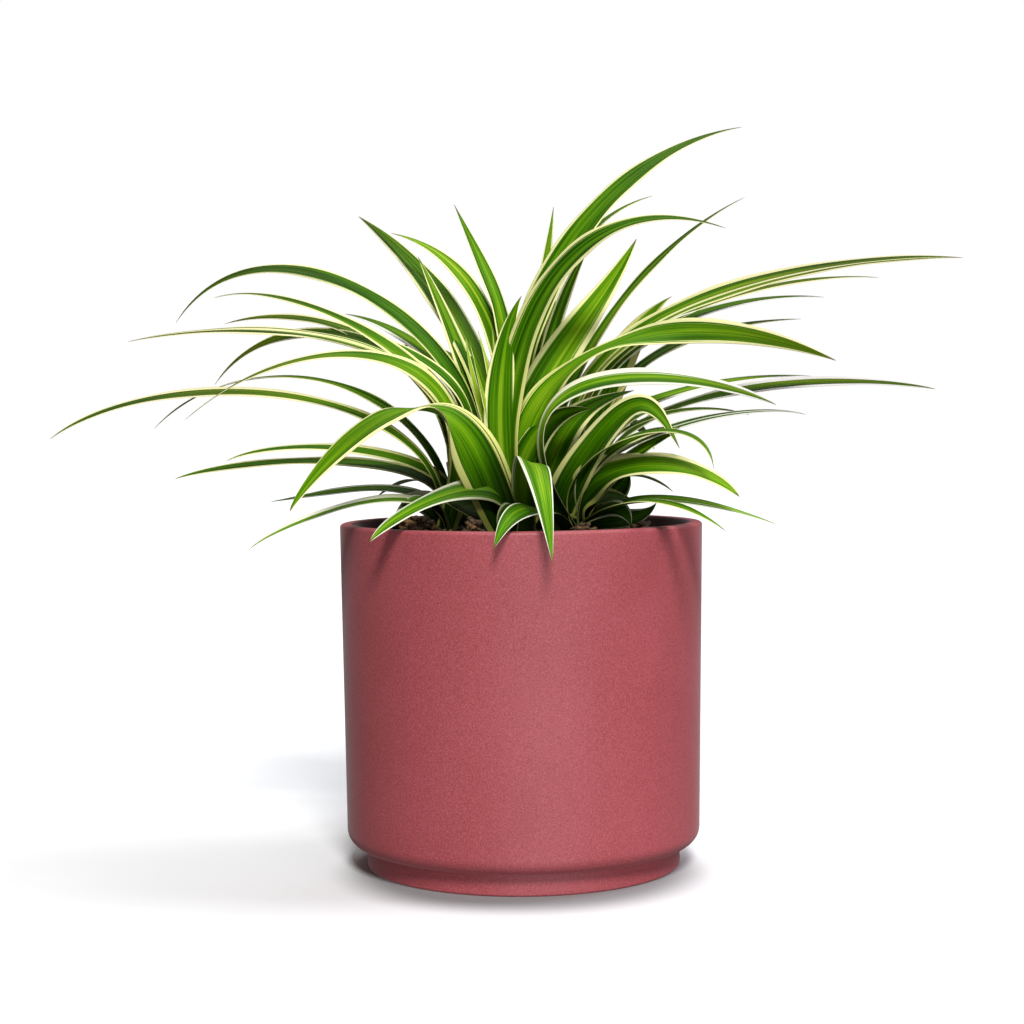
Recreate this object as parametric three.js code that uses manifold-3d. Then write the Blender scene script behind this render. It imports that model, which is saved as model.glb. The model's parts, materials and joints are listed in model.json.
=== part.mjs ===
// Potted spider plant: a cylindrical ceramic pot on a recessed foot, filled with soil,
// and a clump of eight crowns of long arched blades.
// Millimetres, +Z up. The origin is the middle of the pot's underside.

import * as THREE from 'three';
import { mergeVertices } from 'three/addons/utils/BufferGeometryUtils.js';
import Module from 'manifold-3d';

const wasm = await Module();
wasm.setup();

// Pot sizes
const POT_HEIGHT = 147;
const RIM_RADIUS = 77.5;
const BODY_FOOT_RADIUS = 75.8;
const WALL = 6;
const LIP_RADIUS = 1.5;
const FOOT_RADIUS = 67.3;
const FOOT_HEIGHT = 9.5;
const FOOT_EDGE = 1.2;
const CORNER_RADIUS = 7;
const CORNER_STEPS = 4;
const LIP_STEPS = 2;
const FLOOR_TOP = 15;
const FLOOR_CORNER = 4;
const INNER_TAPER = 2;
const POT_SEGMENTS = 48;

// Soil sizes
const SOIL_TOP = 141;
const SOIL_RELIEF = 0.8;
const SOIL_WAVES = [
  { lobes: 3, spacing: 9, phase: 0 },
  { lobes: 5, spacing: -6, phase: 1.3 },
];
const SOIL_CALM_EDGE = 12;
const SOIL_RINGS = 5;
const SOIL_SEGMENTS = 24;
const FIT_GAP = 0.4;

// Crown sizes: each crown is a short stock in the soil that its blades grow from
const STOCK_BOTTOM = 116;
const STOCK_HEIGHT = 37;
const STOCK_RADIUS = 8.6;
const STOCK_SIDES = 10;
const STOCK_SHAPE = [[0, 0], [0.6, 1], [1, 8], [1, 25], [0.7, 33], [0, STOCK_HEIGHT]];
const HOLE_GAP = 0.5;
const HOLE_HEIGHT = 35;
const BLADE_ROOT_RADIUS = 5.5;
const BLADE_ROOT_HEIGHT = 144;

// Blade section
const BLADE_THICKNESS = 0.8;
const FOLD_AT_ROOT = 16;
const FOLD_AT_TIP = 12;
const ROOT_NARROWING = 0.5;
const WIDEST_FROM_ROOT = 0.4;
const TAPER_SHARE = 0.55;
const TAPER_POWER = 0.9;
const TIP_WIDTH = 0.7;
const STATION_SPACING = 34;
const FEWEST_STATIONS = 5;
const TANGENT_STEP = 0.01;
const MERGE_DISTANCE = 1e-4;

const LEAF_GREEN = '#4f8416';
const GLAZE_ROSE = '#a4525a';
const SOIL_BROWN = '#2c1d13';

const radians = THREE.MathUtils.degToRad;

// Where each crown stands in the soil, and its blades. A blade lies in the upright plane that
// leaves the crown at angle `way` (0 is +X, 90 is +Y, away from the front). Its midrib is the
// Bezier curve from the root through the handles `arch`, each [reach, height] from the crown's
// edge and the ground. `width` is the full width. `roll` turns the blade's upper face towards
// the front, in degrees at places spread evenly from the root to the tip. `sway` is how far the
// tip bends to the left, seen from the root, and `taper` the share of the length that narrows.
const CROWNS = [
  {
    name: 'crown_left',
    at: [-30, 0],
    blades: [
      { way: -156, width: 9.5, arch: [[-11, 207], [121, 218], [165, 185]], roll: [45, 28, 30] },
      { way: -174, width: 13, arch: [[-37, 232], [77, 236], [130, 225]], roll: [30, 20, 20] },
      { way: -152, width: 13, arch: [[-50, 195], [58, 254], [100, 241]], roll: [75, 45, 5] },
      { way: 168, width: 10, arch: [[-36, 202], [2, 218], [41, 232]], roll: [0, 15, 30] },
    ],
  },
  {
    name: 'crown_back_left',
    at: [-26, 25],
    blades: [
      { way: 166, width: 10, arch: [[0, 211], [96, 231], [140, 188]], roll: [10, 10, 0] },
      { way: 154, width: 10, arch: [[-29, 217], [81, 260], [124, 208]], roll: [0, 28, 60] },
      { way: 176, width: 12, arch: [[-52, 208], [76, 302], [121, 235]], roll: [25, 30, 36] },
      { way: 148, width: 12, arch: [[-18, 219], [71, 249], [128, 237]], roll: [-5, 10, 35] },
      { way: 140, width: 13, arch: [[-34, 200], [21, 233], [65, 240]], roll: [-15, 0, 25] },
      { way: -170, width: 11, arch: [[-17, 179], [73, 186], [97, 174]], roll: [35, 25, 15] },
      { way: 170, width: 11, arch: [[-12, 183], [104, 174], [127, 165]], roll: [25, 20, 30] },
      { way: 158, width: 9, arch: [[10, 171], [65, 157], [90, 154]], roll: [20, 20, 25] },
      { way: 95, width: 12, arch: [[-4, 200], [78, 220], [126, 186]], roll: [0, 10, 0] },
      { way: 88, width: 14, arch: [[0, 184], [58, 202], [100, 172]], roll: [0, -10, 0] },
      { way: 124, width: 10, arch: [[6, 170], [44, 166], [70, 154]], roll: [0, 0, 10] },
      { way: 94, width: 11, arch: [[4, 178], [48, 180], [90, 150]], roll: [0, 5, 0] },
    ],
  },
  {
    name: 'crown_front_left',
    at: [-28, -20],
    blades: [
      {
        way: -148,
        width: 14,
        arch: [[-34, 230], [65, 233], [115, 192]],
        roll: [90, 36, -15],
        taper: 0.85,
      },
      { way: -152, width: 10, arch: [[2, 173], [73, 151], [86, 140]], roll: [25, 15, 0] },
      { way: -142, width: 13, arch: [[4, 164], [16, 160], [27, 148]], roll: [20, 10, 0] },
      { way: 160, width: 12, arch: [[-2, 156], [10, 158], [20, 158]], roll: [60, 60, 60] },
    ],
  },
  {
    name: 'crown_front',
    at: [0, -28],
    blades: [
      {
        way: -150,
        width: 25,
        arch: [[19, 168], [18, 244], [91, 171], [99, 156]],
        roll: [90, 90, 88, 60, -4, 14, 24, 24, 24],
        taper: 0.9,
      },
      { way: -145, width: 12, arch: [[-5, 178], [57, 156], [68, 143]], roll: [85, 30, 20] },
      { way: -80, width: 13, arch: [[-2, 190], [38, 178], [61, 136]], roll: [-26, -15, -4] },
      { way: -122, width: 7, arch: [[-6, 158], [10, 156], [13, 147]], roll: [50, 50, 40] },
      { way: -172, width: 13, arch: [[9, 154], [19, 158], [29, 159]], roll: [60, 60, 60] },
    ],
  },
  {
    name: 'crown_centre',
    at: [-6, 1],
    blades: [
      { way: 42, width: 14, arch: [[-12, 167], [-14, 220], [4, 244]], roll: [65, 45, 10] },
      { way: -36, width: 17, arch: [[-20, 215], [23, 294], [103, 266]], roll: [90, 70, 10] },
      { way: 18, width: 18, arch: [[-11, 198], [32, 228], [55, 269]], roll: [55, 58, 45] },
      {
        way: -15,
        width: 17,
        arch: [[-10, 228], [72, 242], [135, 214]],
        roll: [85, 85, 75, 32, 16, 48, 62, 70, 75],
      },
      { way: -25, width: 17, arch: [[-2, 168], [8, 195], [34, 195]], roll: [80, 75, 50] },
      { way: 14, width: 16, arch: [[21, 178], [12, 194], [52, 203]], roll: [60, 55, 45] },
      { way: 176, width: 3, arch: [[-2, 170], [4, 200], [10, 225]], roll: [0, 0, 0] },
      { way: 160, width: 3.5, arch: [[-4, 172], [-1, 205], [7, 229]], roll: [40, 40, 40] },
      { way: 120, width: 3, arch: [[-2, 170], [2, 205], [6, 231]], roll: [60, 60, 60] },
      { way: -176, width: 3, arch: [[-3, 172], [7, 200], [15, 221]], roll: [20, 20, 20] },
      { way: -160, width: 3, arch: [[-4, 170], [4, 198], [9, 217]], roll: [70, 70, 70] },
      { way: 168, width: 3, arch: [[-4, 174], [10, 206], [12, 227]], roll: [80, 80, 80] },
    ],
  },
  {
    name: 'crown_back',
    at: [-1, 28],
    blades: [
      { way: 148, width: 10, arch: [[-1, 186], [33, 205], [50, 237]], roll: [5, 10, 20] },
      { way: 138, width: 17, arch: [[6, 213], [38, 254], [94, 287]], roll: [5, 10, 35] },
      { way: 148, width: 12, arch: [[9, 187], [25, 227], [47, 265]], roll: [5, 20, 15] },
      { way: 150, width: 14, arch: [[-6, 197], [0, 262], [60, 276]], roll: [-10, 10, 25] },
      { way: 136, width: 12, arch: [[5, 245], [-8, 224], [33, 288]], roll: [-20, -10, 35] },
      { way: 22, width: 17, arch: [[-26, 223], [28, 309], [107, 324]], roll: [20, 28, 20] },
      { way: 60, width: 9, arch: [[-12, 195], [19, 239], [29, 287]], roll: [90, 90, 15] },
      { way: 44, width: 9, arch: [[-1, 222], [14, 277], [84, 295]], roll: [-20, -15, 20] },
      { way: 30, width: 10, arch: [[13, 210], [58, 267], [119, 294]], roll: [0, 0, 5] },
      { way: 48, width: 12, arch: [[-2, 186], [15, 238], [45, 270]], roll: [90, 90, 90] },
      { way: 75, width: 12, arch: [[-7, 192], [42, 219], [68, 252]], roll: [90, 90, 45] },
      { way: 92, width: 15, arch: [[-4, 212], [58, 242], [118, 204]], roll: [0, 10, 0] },
      { way: 108, width: 12, arch: [[0, 193], [50, 214], [100, 178]], roll: [0, -10, 0] },
      { way: 76, width: 12, arch: [[6, 176], [58, 180], [102, 154]], roll: [0, 10, 10] },
      { way: 124, width: 13, arch: [[2, 200], [56, 240], [112, 222]], roll: [0, 0, 0] },
    ],
  },
  {
    name: 'crown_back_right',
    at: [26, 26],
    blades: [
      { way: 18, width: 17, arch: [[-11, 167], [12, 230], [39, 245]], roll: [90, 90, 20] },
      { way: -10, width: 14, arch: [[-48, 238], [97, 262], [160, 258]], roll: [30, 35, 30] },
      { way: 14, width: 11, arch: [[-37, 225], [78, 257], [137, 254]], roll: [-5, 5, 25] },
      { way: 6, width: 12, arch: [[-30, 217], [51, 248], [105, 244]], roll: [30, 25, 20] },
      { way: 24, width: 9, arch: [[-13, 217], [56, 234], [109, 236]], roll: [5, 15, 25] },
      { way: -22, width: 12, arch: [[-8, 207], [107, 211], [151, 202]], roll: [15, 25, 35] },
      { way: 80, width: 14, arch: [[-2, 200], [74, 234], [130, 190]], roll: [0, -10, 0] },
      { way: 60, width: 13, arch: [[-4, 196], [40, 202], [70, 176]], roll: [0, 0, 10] },
      { way: 84, width: 12, arch: [[2, 186], [54, 204], [102, 160]], roll: [0, 10, 0] },
      { way: 50, width: 10, arch: [[6, 170], [44, 168], [66, 156]], roll: [10, 0, 10] },
    ],
  },
  {
    name: 'crown_front_right',
    at: [20, -20],
    blades: [
      { way: -20, width: 13, arch: [[-57, 220], [45, 215], [83, 196]], roll: [30, 38, 45] },
      {
        way: -38,
        width: 18,
        arch: [[-33, 144], [26, 198], [29, 215], [50, 179]],
        roll: [90, 80, 25],
        taper: 0.75,
      },
      { way: -40, width: 18, arch: [[-11, 174], [56, 181], [80, 160]], roll: [90, 45, 20] },
      { way: -34, width: 10, arch: [[18, 166], [65, 157], [91, 149]], roll: [20, 15, 5] },
      { way: -48, width: 9, arch: [[25, 162], [57, 161], [83, 147]], roll: [10, 5, 0] },
      { way: 2, width: 10, arch: [[-23, 197], [61, 210], [97, 208]], roll: [30, 25, 15] },
      { way: 12, width: 7, arch: [[-6, 188], [43, 201], [74, 192]], roll: [-15, 5, 30] },
      { way: -26, width: 9, arch: [[-11, 181], [70, 199], [98, 192]], roll: [30, 25, 15] },
      { way: -46, width: 8, arch: [[-27, 176], [70, 204], [74, 171]], roll: [35, 20, -5] },
      { way: -30, width: 9, arch: [[-5, 174], [28, 187], [46, 187]], roll: [40, 40, 40] },
      { way: -28, width: 10, arch: [[8, 165], [28, 181], [44, 185]], roll: [50, 50, 50] },
      { way: 20, width: 10, arch: [[3, 170], [10, 188], [33, 194]], roll: [15, 15, 15] },
      { way: -40, width: 12, arch: [[6, 151], [23, 160], [27, 147]], roll: [30, 40, 30] },
      { way: -15, width: 11, arch: [[8, 152], [25, 145], [32, 156]], roll: [50, 50, 50] },
      { way: 5, width: 11, arch: [[-2, 160], [12, 161], [22, 156]], roll: [40, 40, 40] },
      { way: 14, width: 15, arch: [[-3, 154], [21, 159], [20, 169]], roll: [60, 60, 60] },
      { way: -112, width: 13, arch: [[10, 152], [52, 165], [67, 141]], roll: [15, 15, 15], sway: -4 },
    ],
  },
];

// Turns a closed geometry into a solid that can be joined and cut.
function toSolid(geometry) {
  const bare = geometry.clone();
  for (const extra of Object.keys(bare.attributes)) {
    if (extra !== 'position') bare.deleteAttribute(extra);
  }
  const merged = mergeVertices(bare, MERGE_DISTANCE);
  return new wasm.Manifold(new wasm.Mesh({
    numProp: 3,
    vertProperties: new Float32Array(merged.attributes.position.array),
    triVerts: new Uint32Array(merged.index.array),
  }));
}

// The outer shell of a joined solid: small hollows that blades seal between them are filled.
function outerShell(solid) {
  const shells = solid.decompose();
  return shells.reduce((best, shell) => (shell.volume() > best.volume() ? shell : best));
}

// Turns a joined solid back into a geometry.
function toGeometry(solid) {
  const mesh = outerShell(solid).getMesh();
  const geometry = new THREE.BufferGeometry();
  geometry.setAttribute('position', new THREE.BufferAttribute(new Float32Array(mesh.vertProperties), 3));
  geometry.setIndex(new THREE.BufferAttribute(new Uint32Array(mesh.triVerts), 1));
  geometry.computeVertexNormals();
  return geometry;
}

// A solid of revolution about +Z from [radius, height] pairs that start and end on the axis.
function turned(profile, segments) {
  const geometry = new THREE.LatheGeometry(profile.map(([r, z]) => new THREE.Vector2(r, z)), segments);
  geometry.rotateX(Math.PI / 2);
  return geometry;
}

// Points of an arc in the [radius, height] plane, angles in degrees from the +radius axis.
function arcPoints(centreR, centreZ, radius, from, to, steps) {
  const points = [];
  for (let i = 0; i <= steps; i += 1) {
    const angle = radians(from + ((to - from) * i) / steps);
    points.push([centreR + radius * Math.cos(angle), centreZ + radius * Math.sin(angle)]);
  }
  return points;
}

// The pot: foot, rounded lower corner, slightly flared wall, rounded lip, inner wall and floor.
function potGeometry() {
  const inner = RIM_RADIUS - WALL;
  const cornerR = BODY_FOOT_RADIUS - CORNER_RADIUS;
  const cornerZ = FOOT_HEIGHT + CORNER_RADIUS;
  const profile = [
    [0, 0],
    [FOOT_RADIUS - FOOT_EDGE, 0],
    [FOOT_RADIUS, FOOT_EDGE],
    [FOOT_RADIUS, FOOT_HEIGHT],
    ...arcPoints(cornerR, cornerZ, CORNER_RADIUS, -90, 0, CORNER_STEPS),
    ...arcPoints(RIM_RADIUS - LIP_RADIUS, POT_HEIGHT - LIP_RADIUS, LIP_RADIUS, 0, 90, LIP_STEPS),
    ...arcPoints(inner + LIP_RADIUS, POT_HEIGHT - LIP_RADIUS, LIP_RADIUS, 90, 180, LIP_STEPS),
    [inner - INNER_TAPER, FLOOR_TOP + FLOOR_CORNER],
    [inner - INNER_TAPER - FLOOR_CORNER, FLOOR_TOP],
    [0, FLOOR_TOP],
  ];
  return turned(profile, POT_SEGMENTS);
}

// Height of the soil's surface: low mounds and hollows, calm near the wall.
function soilHeight(radius, angle, outer) {
  const calm = Math.min(1, (outer - radius) / SOIL_CALM_EDGE);
  let lift = 0;
  for (const { lobes, spacing, phase } of SOIL_WAVES) {
    lift += SOIL_RELIEF * Math.sin(lobes * angle + radius / spacing + phase);
  }
  return SOIL_TOP + lift * calm;
}

// The soil: a plug that fills the pot, with uneven top and a plain hole for each crown's stock.
function soilGeometry() {
  const outer = RIM_RADIUS - WALL - INNER_TAPER - FIT_GAP;
  const bottom = FLOOR_TOP + FLOOR_CORNER + FIT_GAP;
  const positions = [0, 0, soilHeight(0, 0, outer)];
  for (let ring = 1; ring <= SOIL_RINGS; ring += 1) {
    const radius = (outer * ring) / SOIL_RINGS;
    for (let i = 0; i < SOIL_SEGMENTS; i += 1) {
      const angle = (2 * Math.PI * i) / SOIL_SEGMENTS;
      positions.push(radius * Math.cos(angle), radius * Math.sin(angle), soilHeight(radius, angle, outer));
    }
  }
  for (let i = 0; i < SOIL_SEGMENTS; i += 1) {
    const angle = (2 * Math.PI * i) / SOIL_SEGMENTS;
    positions.push(outer * Math.cos(angle), outer * Math.sin(angle), bottom);
  }
  positions.push(0, 0, bottom);
  const index = [];
  const at = (ring, i) => 1 + (ring - 1) * SOIL_SEGMENTS + (i % SOIL_SEGMENTS);
  for (let i = 0; i < SOIL_SEGMENTS; i += 1) {
    index.push(0, at(1, i), at(1, i + 1));
    for (let ring = 1; ring <= SOIL_RINGS; ring += 1) {
      index.push(at(ring, i), at(ring + 1, i), at(ring + 1, i + 1));
      index.push(at(ring, i), at(ring + 1, i + 1), at(ring, i + 1));
    }
    index.push(at(SOIL_RINGS + 2, 0), at(SOIL_RINGS + 1, i + 1), at(SOIL_RINGS + 1, i));
  }
  const plug = new THREE.BufferGeometry();
  plug.setAttribute('position', new THREE.BufferAttribute(new Float32Array(positions), 3));
  plug.setIndex(index);
  let solid = toSolid(plug);
  const holeRadius = STOCK_RADIUS + HOLE_GAP;
  for (const crown of CROWNS) {
    const hole = new THREE.CylinderGeometry(holeRadius, holeRadius, HOLE_HEIGHT, STOCK_SIDES);
    hole.rotateX(Math.PI / 2);
    hole.translate(crown.at[0], crown.at[1], STOCK_BOTTOM - HOLE_GAP + HOLE_HEIGHT / 2);
    solid = solid.subtract(toSolid(hole));
  }
  return toGeometry(solid);
}

// A point of the Bezier curve through handles, by repeated halving between neighbours.
function bezierPoint(handles, t) {
  let points = handles;
  while (points.length > 1) {
    const next = [];
    for (let i = 0; i + 1 < points.length; i += 1) {
      next.push([
        points[i][0] + (points[i + 1][0] - points[i][0]) * t,
        points[i][1] + (points[i + 1][1] - points[i][1]) * t,
      ]);
    }
    points = next;
  }
  return points[0];
}

// Share of the full width at t: narrow at the root, full along the middle, drawn out to the tip
// over the share `taper` of the length.
function widthShare(t, taper) {
  const tip = Math.sin((Math.PI / 2) * Math.min(1, (1 - t) / taper)) ** TAPER_POWER;
  const rise = Math.sin((Math.PI / 2) * Math.min(1, t / WIDEST_FROM_ROOT));
  return tip * (ROOT_NARROWING + (1 - ROOT_NARROWING) * rise);
}

// How fast readings that are one step apart rise at reading i.
function rise(readings, i) {
  const before = Math.max(0, i - 1);
  const after = Math.min(readings.length - 1, i + 1);
  return (readings[after] - readings[before]) / (after - before);
}

// Value at t of the smooth curve through readings that are spread evenly from 0 to 1.
function smoothThrough(readings, t) {
  const place = t * (readings.length - 1);
  const i = Math.min(Math.floor(place), readings.length - 2);
  const share = place - i;
  const rest = 1 - share;
  const ends = readings[i] * rest ** 2 * (1 + 2 * share) + readings[i + 1] * share ** 2 * (1 + 2 * rest);
  return ends + rise(readings, i) * share * rest ** 2 - rise(readings, i + 1) * share ** 2 * rest;
}

// Stations along a blade: middle, half-width vector to the side and upward normal at each.
function bladeStations(blade, crownAt) {
  const way = radians(blade.way);
  const out = new THREE.Vector3(Math.cos(way), Math.sin(way), 0);
  const across = new THREE.Vector3(-Math.sin(way), Math.cos(way), 0);
  const root = new THREE.Vector3(crownAt[0], crownAt[1], 0).addScaledVector(out, BLADE_ROOT_RADIUS);
  const handles = [[0, BLADE_ROOT_HEIGHT], ...blade.arch];
  const sway = blade.sway ?? 0;
  const taper = blade.taper ?? TAPER_SHARE;
  const place = (t) => {
    const [reach, height] = bezierPoint(handles, t);
    const point = root.clone().addScaledVector(out, reach).addScaledVector(across, sway * t ** 2);
    point.z += height;
    return point;
  };
  let length = 0;
  for (let i = 0; i < handles.length - 1; i += 1) {
    length += Math.hypot(handles[i + 1][0] - handles[i][0], handles[i + 1][1] - handles[i][1]);
  }
  const count = Math.max(FEWEST_STATIONS, Math.round(length / STATION_SPACING) + 2);
  const front = Math.cos(way) >= 0 ? 1 : -1;
  const stations = [];
  for (let i = 0; i < count; i += 1) {
    const t = i / (count - 1);
    const middle = place(t);
    const ahead = place(Math.min(1, t + TANGENT_STEP));
    const along = ahead.sub(place(Math.max(0, t - TANGENT_STEP))).normalize();
    const side = across.clone().applyAxisAngle(along, front * radians(smoothThrough(blade.roll, t)));
    const normal = along.clone().cross(side);
    const half = Math.max(TIP_WIDTH, blade.width * widthShare(t, taper)) / 2;
    stations.push({ middle, side, normal, half, t });
  }
  return stations;
}

// One blade: a shallow V section with two faces and closed ends, split alike on both faces.
function bladeGeometry(blade, crownAt) {
  const positions = [];
  const stations = bladeStations(blade, crownAt);
  for (const { middle, side, normal, half, t } of stations) {
    const fold = radians(FOLD_AT_ROOT + (FOLD_AT_TIP - FOLD_AT_ROOT) * t);
    for (const lift of [0, -BLADE_THICKNESS]) {
      for (const edge of [-1, 0, 1]) {
        const point = middle.clone();
        point.addScaledVector(side, edge * half * Math.cos(fold));
        point.addScaledVector(normal, Math.abs(edge) * half * Math.sin(fold) + lift);
        positions.push(point.x, point.y, point.z);
      }
    }
  }
  // Section corners in order round the blade: upper left, middle, right, then lower ones back.
  const round = [0, 1, 2, 5, 4, 3];
  const index = [];
  const corner = (station, i) => station * 6 + round[i % 6];
  for (let s = 0; s + 1 < stations.length; s += 1) {
    for (let i = 0; i < 6; i += 1) {
      const [a, b] = [corner(s, i), corner(s, i + 1)];
      const [c, d] = [corner(s + 1, i), corner(s + 1, i + 1)];
      if (i === 3 || i === 4) {
        index.push(a, c, b, b, c, d);
      } else {
        index.push(a, d, b, a, c, d);
      }
    }
  }
  const last = stations.length - 1;
  for (const [a, b, c] of [[0, 1, 4], [0, 4, 5], [1, 2, 3], [1, 3, 4]]) {
    index.push(corner(0, a), corner(0, b), corner(0, c));
    index.push(corner(last, a), corner(last, c), corner(last, b));
  }
  const geometry = new THREE.BufferGeometry();
  geometry.setAttribute('position', new THREE.BufferAttribute(new Float32Array(positions), 3));
  geometry.setIndex(index);
  return geometry;
}

// The stock that a crown's blades grow from, standing in the soil.
function stockGeometry(crownAt) {
  const profile = STOCK_SHAPE.map(([share, height]) => [share * STOCK_RADIUS, STOCK_BOTTOM + height]);
  const geometry = turned(profile, STOCK_SIDES);
  geometry.translate(crownAt[0], crownAt[1], 0);
  return geometry;
}

// A crown with all its blades joined in one solid.
function crownGeometry(crown) {
  let solid = toSolid(stockGeometry(crown.at));
  for (const blade of crown.blades) {
    solid = solid.add(toSolid(bladeGeometry(blade, crown.at)));
  }
  return toGeometry(solid);
}

function piece(name, geometry, colour, roughness) {
  const material = new THREE.MeshStandardMaterial({ color: colour, roughness, metalness: 0 });
  const mesh = new THREE.Mesh(geometry, material);
  mesh.name = name;
  return mesh;
}

const plant = new THREE.Group();
plant.add(piece('pot', potGeometry(), GLAZE_ROSE, 0.55));
plant.add(piece('soil', soilGeometry(), SOIL_BROWN, 0.95));
for (const crown of CROWNS) {
  plant.add(piece(crown.name, crownGeometry(crown), LEAF_GREEN, 0.5));
}

export default plant;
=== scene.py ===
"""Potted spider plant: a rose glazed pot, soil with bark, and eight crowns of cream-edged blades.

All sizes are in metres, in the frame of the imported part: +Z up, the origin in the middle of
the pot's underside, and -Y towards the front. Rows of blades give their sizes in millimetres.
"""
import json
import logging
import math
from dataclasses import dataclass, field
from enum import Enum
from typing import Any, Sequence

import bmesh
import bpy
import numpy as np
from mathutils import Matrix, Vector

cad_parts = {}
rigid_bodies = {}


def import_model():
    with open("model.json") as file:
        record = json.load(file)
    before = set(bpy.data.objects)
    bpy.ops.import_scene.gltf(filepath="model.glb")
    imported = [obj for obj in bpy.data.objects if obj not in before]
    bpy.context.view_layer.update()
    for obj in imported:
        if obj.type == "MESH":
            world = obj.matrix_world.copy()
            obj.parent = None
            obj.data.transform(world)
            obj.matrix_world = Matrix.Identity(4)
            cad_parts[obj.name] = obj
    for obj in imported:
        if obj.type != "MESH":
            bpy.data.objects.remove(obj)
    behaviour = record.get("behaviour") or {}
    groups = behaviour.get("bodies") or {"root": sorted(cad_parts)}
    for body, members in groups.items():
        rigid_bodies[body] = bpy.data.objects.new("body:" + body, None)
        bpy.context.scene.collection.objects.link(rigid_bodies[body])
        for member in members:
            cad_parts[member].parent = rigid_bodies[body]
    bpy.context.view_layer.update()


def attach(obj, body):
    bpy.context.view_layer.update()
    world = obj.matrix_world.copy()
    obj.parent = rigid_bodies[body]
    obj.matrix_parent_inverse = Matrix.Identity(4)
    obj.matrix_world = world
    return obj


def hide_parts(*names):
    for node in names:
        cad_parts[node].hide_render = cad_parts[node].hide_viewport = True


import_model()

LOG = logging.getLogger("plant")
MM = 0.001
BODY = "root"
HALF_IN_MM = 500.0
LENGTH_IN_DM = 10.0
FULL_TURN = 6.28
Triple = tuple[float, float, float]
Colour = Triple


def rgba(colour: Colour) -> tuple[float, float, float, float]:
    """Return a linear colour with full alpha."""
    return (*colour, 1.0)


class Term:
    """A node socket that takes part in arithmetic."""

    def __init__(self, graph: "Graph", socket: bpy.types.NodeSocket) -> None:
        """Keep the socket and the graph that its maths nodes go to."""
        self.graph = graph
        self.socket = socket

    def __add__(self, other: Any) -> "Term":
        """Return self + other."""
        return self.graph.math("ADD", self, other)

    def __radd__(self, other: Any) -> "Term":
        """Return other + self."""
        return self.graph.math("ADD", other, self)

    def __sub__(self, other: Any) -> "Term":
        """Return self - other."""
        return self.graph.math("SUBTRACT", self, other)

    def __rsub__(self, other: Any) -> "Term":
        """Return other - self."""
        return self.graph.math("SUBTRACT", other, self)

    def __mul__(self, other: Any) -> "Term":
        """Return self * other."""
        return self.graph.math("MULTIPLY", self, other)

    def __rmul__(self, other: Any) -> "Term":
        """Return other * self."""
        return self.graph.math("MULTIPLY", other, self)

    def __truediv__(self, other: Any) -> "Term":
        """Return self / other."""
        return self.graph.math("DIVIDE", self, other)

    def __rtruediv__(self, other: Any) -> "Term":
        """Return other / self."""
        return self.graph.math("DIVIDE", other, self)

    def __pow__(self, other: Any) -> "Term":
        """Return self to the power of other."""
        return self.graph.math("POWER", self, other)


class Graph:
    """A node tree that is written as expressions."""

    def __init__(self, tree: bpy.types.NodeTree) -> None:
        """Wrap an empty node tree."""
        self.tree = tree

    def node(
        self,
        kind: str,
        settings: dict[str, Any] | None = None,
        inputs: dict[Any, Any] | None = None,
        output: int | str = 0,
    ) -> Term:
        """Add a node.

        Args:
            kind: The node's type.
            settings: Its properties, set first. "stops" holds a colour ramp's stops.
            inputs: A value or a Term for each socket, by name or place.
            output: The name or place of the output that is used.

        Returns:
            The chosen output.
        """
        made = self.tree.nodes.new(kind)
        for key, value in (settings or {}).items():
            if key == "stops":
                self._ramp(made.color_ramp, value)
            else:
                setattr(made, key, value)
        for key, value in (inputs or {}).items():
            if isinstance(value, Term):
                self.tree.links.new(value.socket, made.inputs[key])
            else:
                made.inputs[key].default_value = value
        return Term(self, made.outputs[output]) if made.outputs else Term(self, None)

    @staticmethod
    def _ramp(ramp: bpy.types.ColorRamp, stops: Sequence[tuple[float, Colour]]) -> None:
        """Set a colour ramp's stops.

        Args:
            ramp: The ramp.
            stops: The place and the colour of each stop.
        """
        while len(ramp.elements) < len(stops):
            ramp.elements.new(1.0)
        for element, (place, colour) in zip(ramp.elements, stops):
            element.position = place
            element.color = rgba(colour)

    def math(self, operation: str, *values: Any) -> Term:
        """Add a Math node and return its value."""
        return self.node("ShaderNodeMath", {"operation": operation}, dict(enumerate(values)))

    def vector(self, operation: str, *values: Any) -> Term:
        """Add a Vector Math node and return its vector."""
        return self.node("ShaderNodeVectorMath", {"operation": operation}, dict(enumerate(values)))

    def scaled(self, vector: Term, factor: Any) -> Term:
        """Scale a vector.

        Args:
            vector: The vector.
            factor: A number or a Term.

        Returns:
            The vector times the factor.
        """
        return self.node(
            "ShaderNodeVectorMath", {"operation": "SCALE"}, {0: vector, "Scale": factor}
        )

    def combine(self, x: Any = 0.0, y: Any = 0.0, z: Any = 0.0) -> Term:
        """Return the vector (x, y, z)."""
        return self.node("ShaderNodeCombineXYZ", None, {0: x, 1: y, 2: z})

    def step(self, value: Any, low: Any, high: Any) -> Term:
        """Add a smooth step.

        Args:
            value: What is compared.
            low: Up to here the step is 0.
            high: From here on the step is 1.

        Returns:
            The step, which rises smoothly between the two.
        """
        return self.node(
            "ShaderNodeMapRange",
            {"interpolation_type": "SMOOTHSTEP"},
            {"Value": value, "From Min": low, "From Max": high},
        )

    def noise(self, vector: Term, scale: float, detail: float = 2.0, rough: float = 0.5) -> Term:
        """Add noise.

        Args:
            vector: Where the noise is read.
            scale: Noise cells to the unit.
            detail: Number of finer layers.
            rough: Weight of the finer layers.

        Returns:
            The noise, from 0 to 1.
        """
        return self.node(
            "ShaderNodeTexNoise",
            None,
            {"Vector": vector, "Scale": scale, "Detail": detail, "Roughness": rough},
        )


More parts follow.
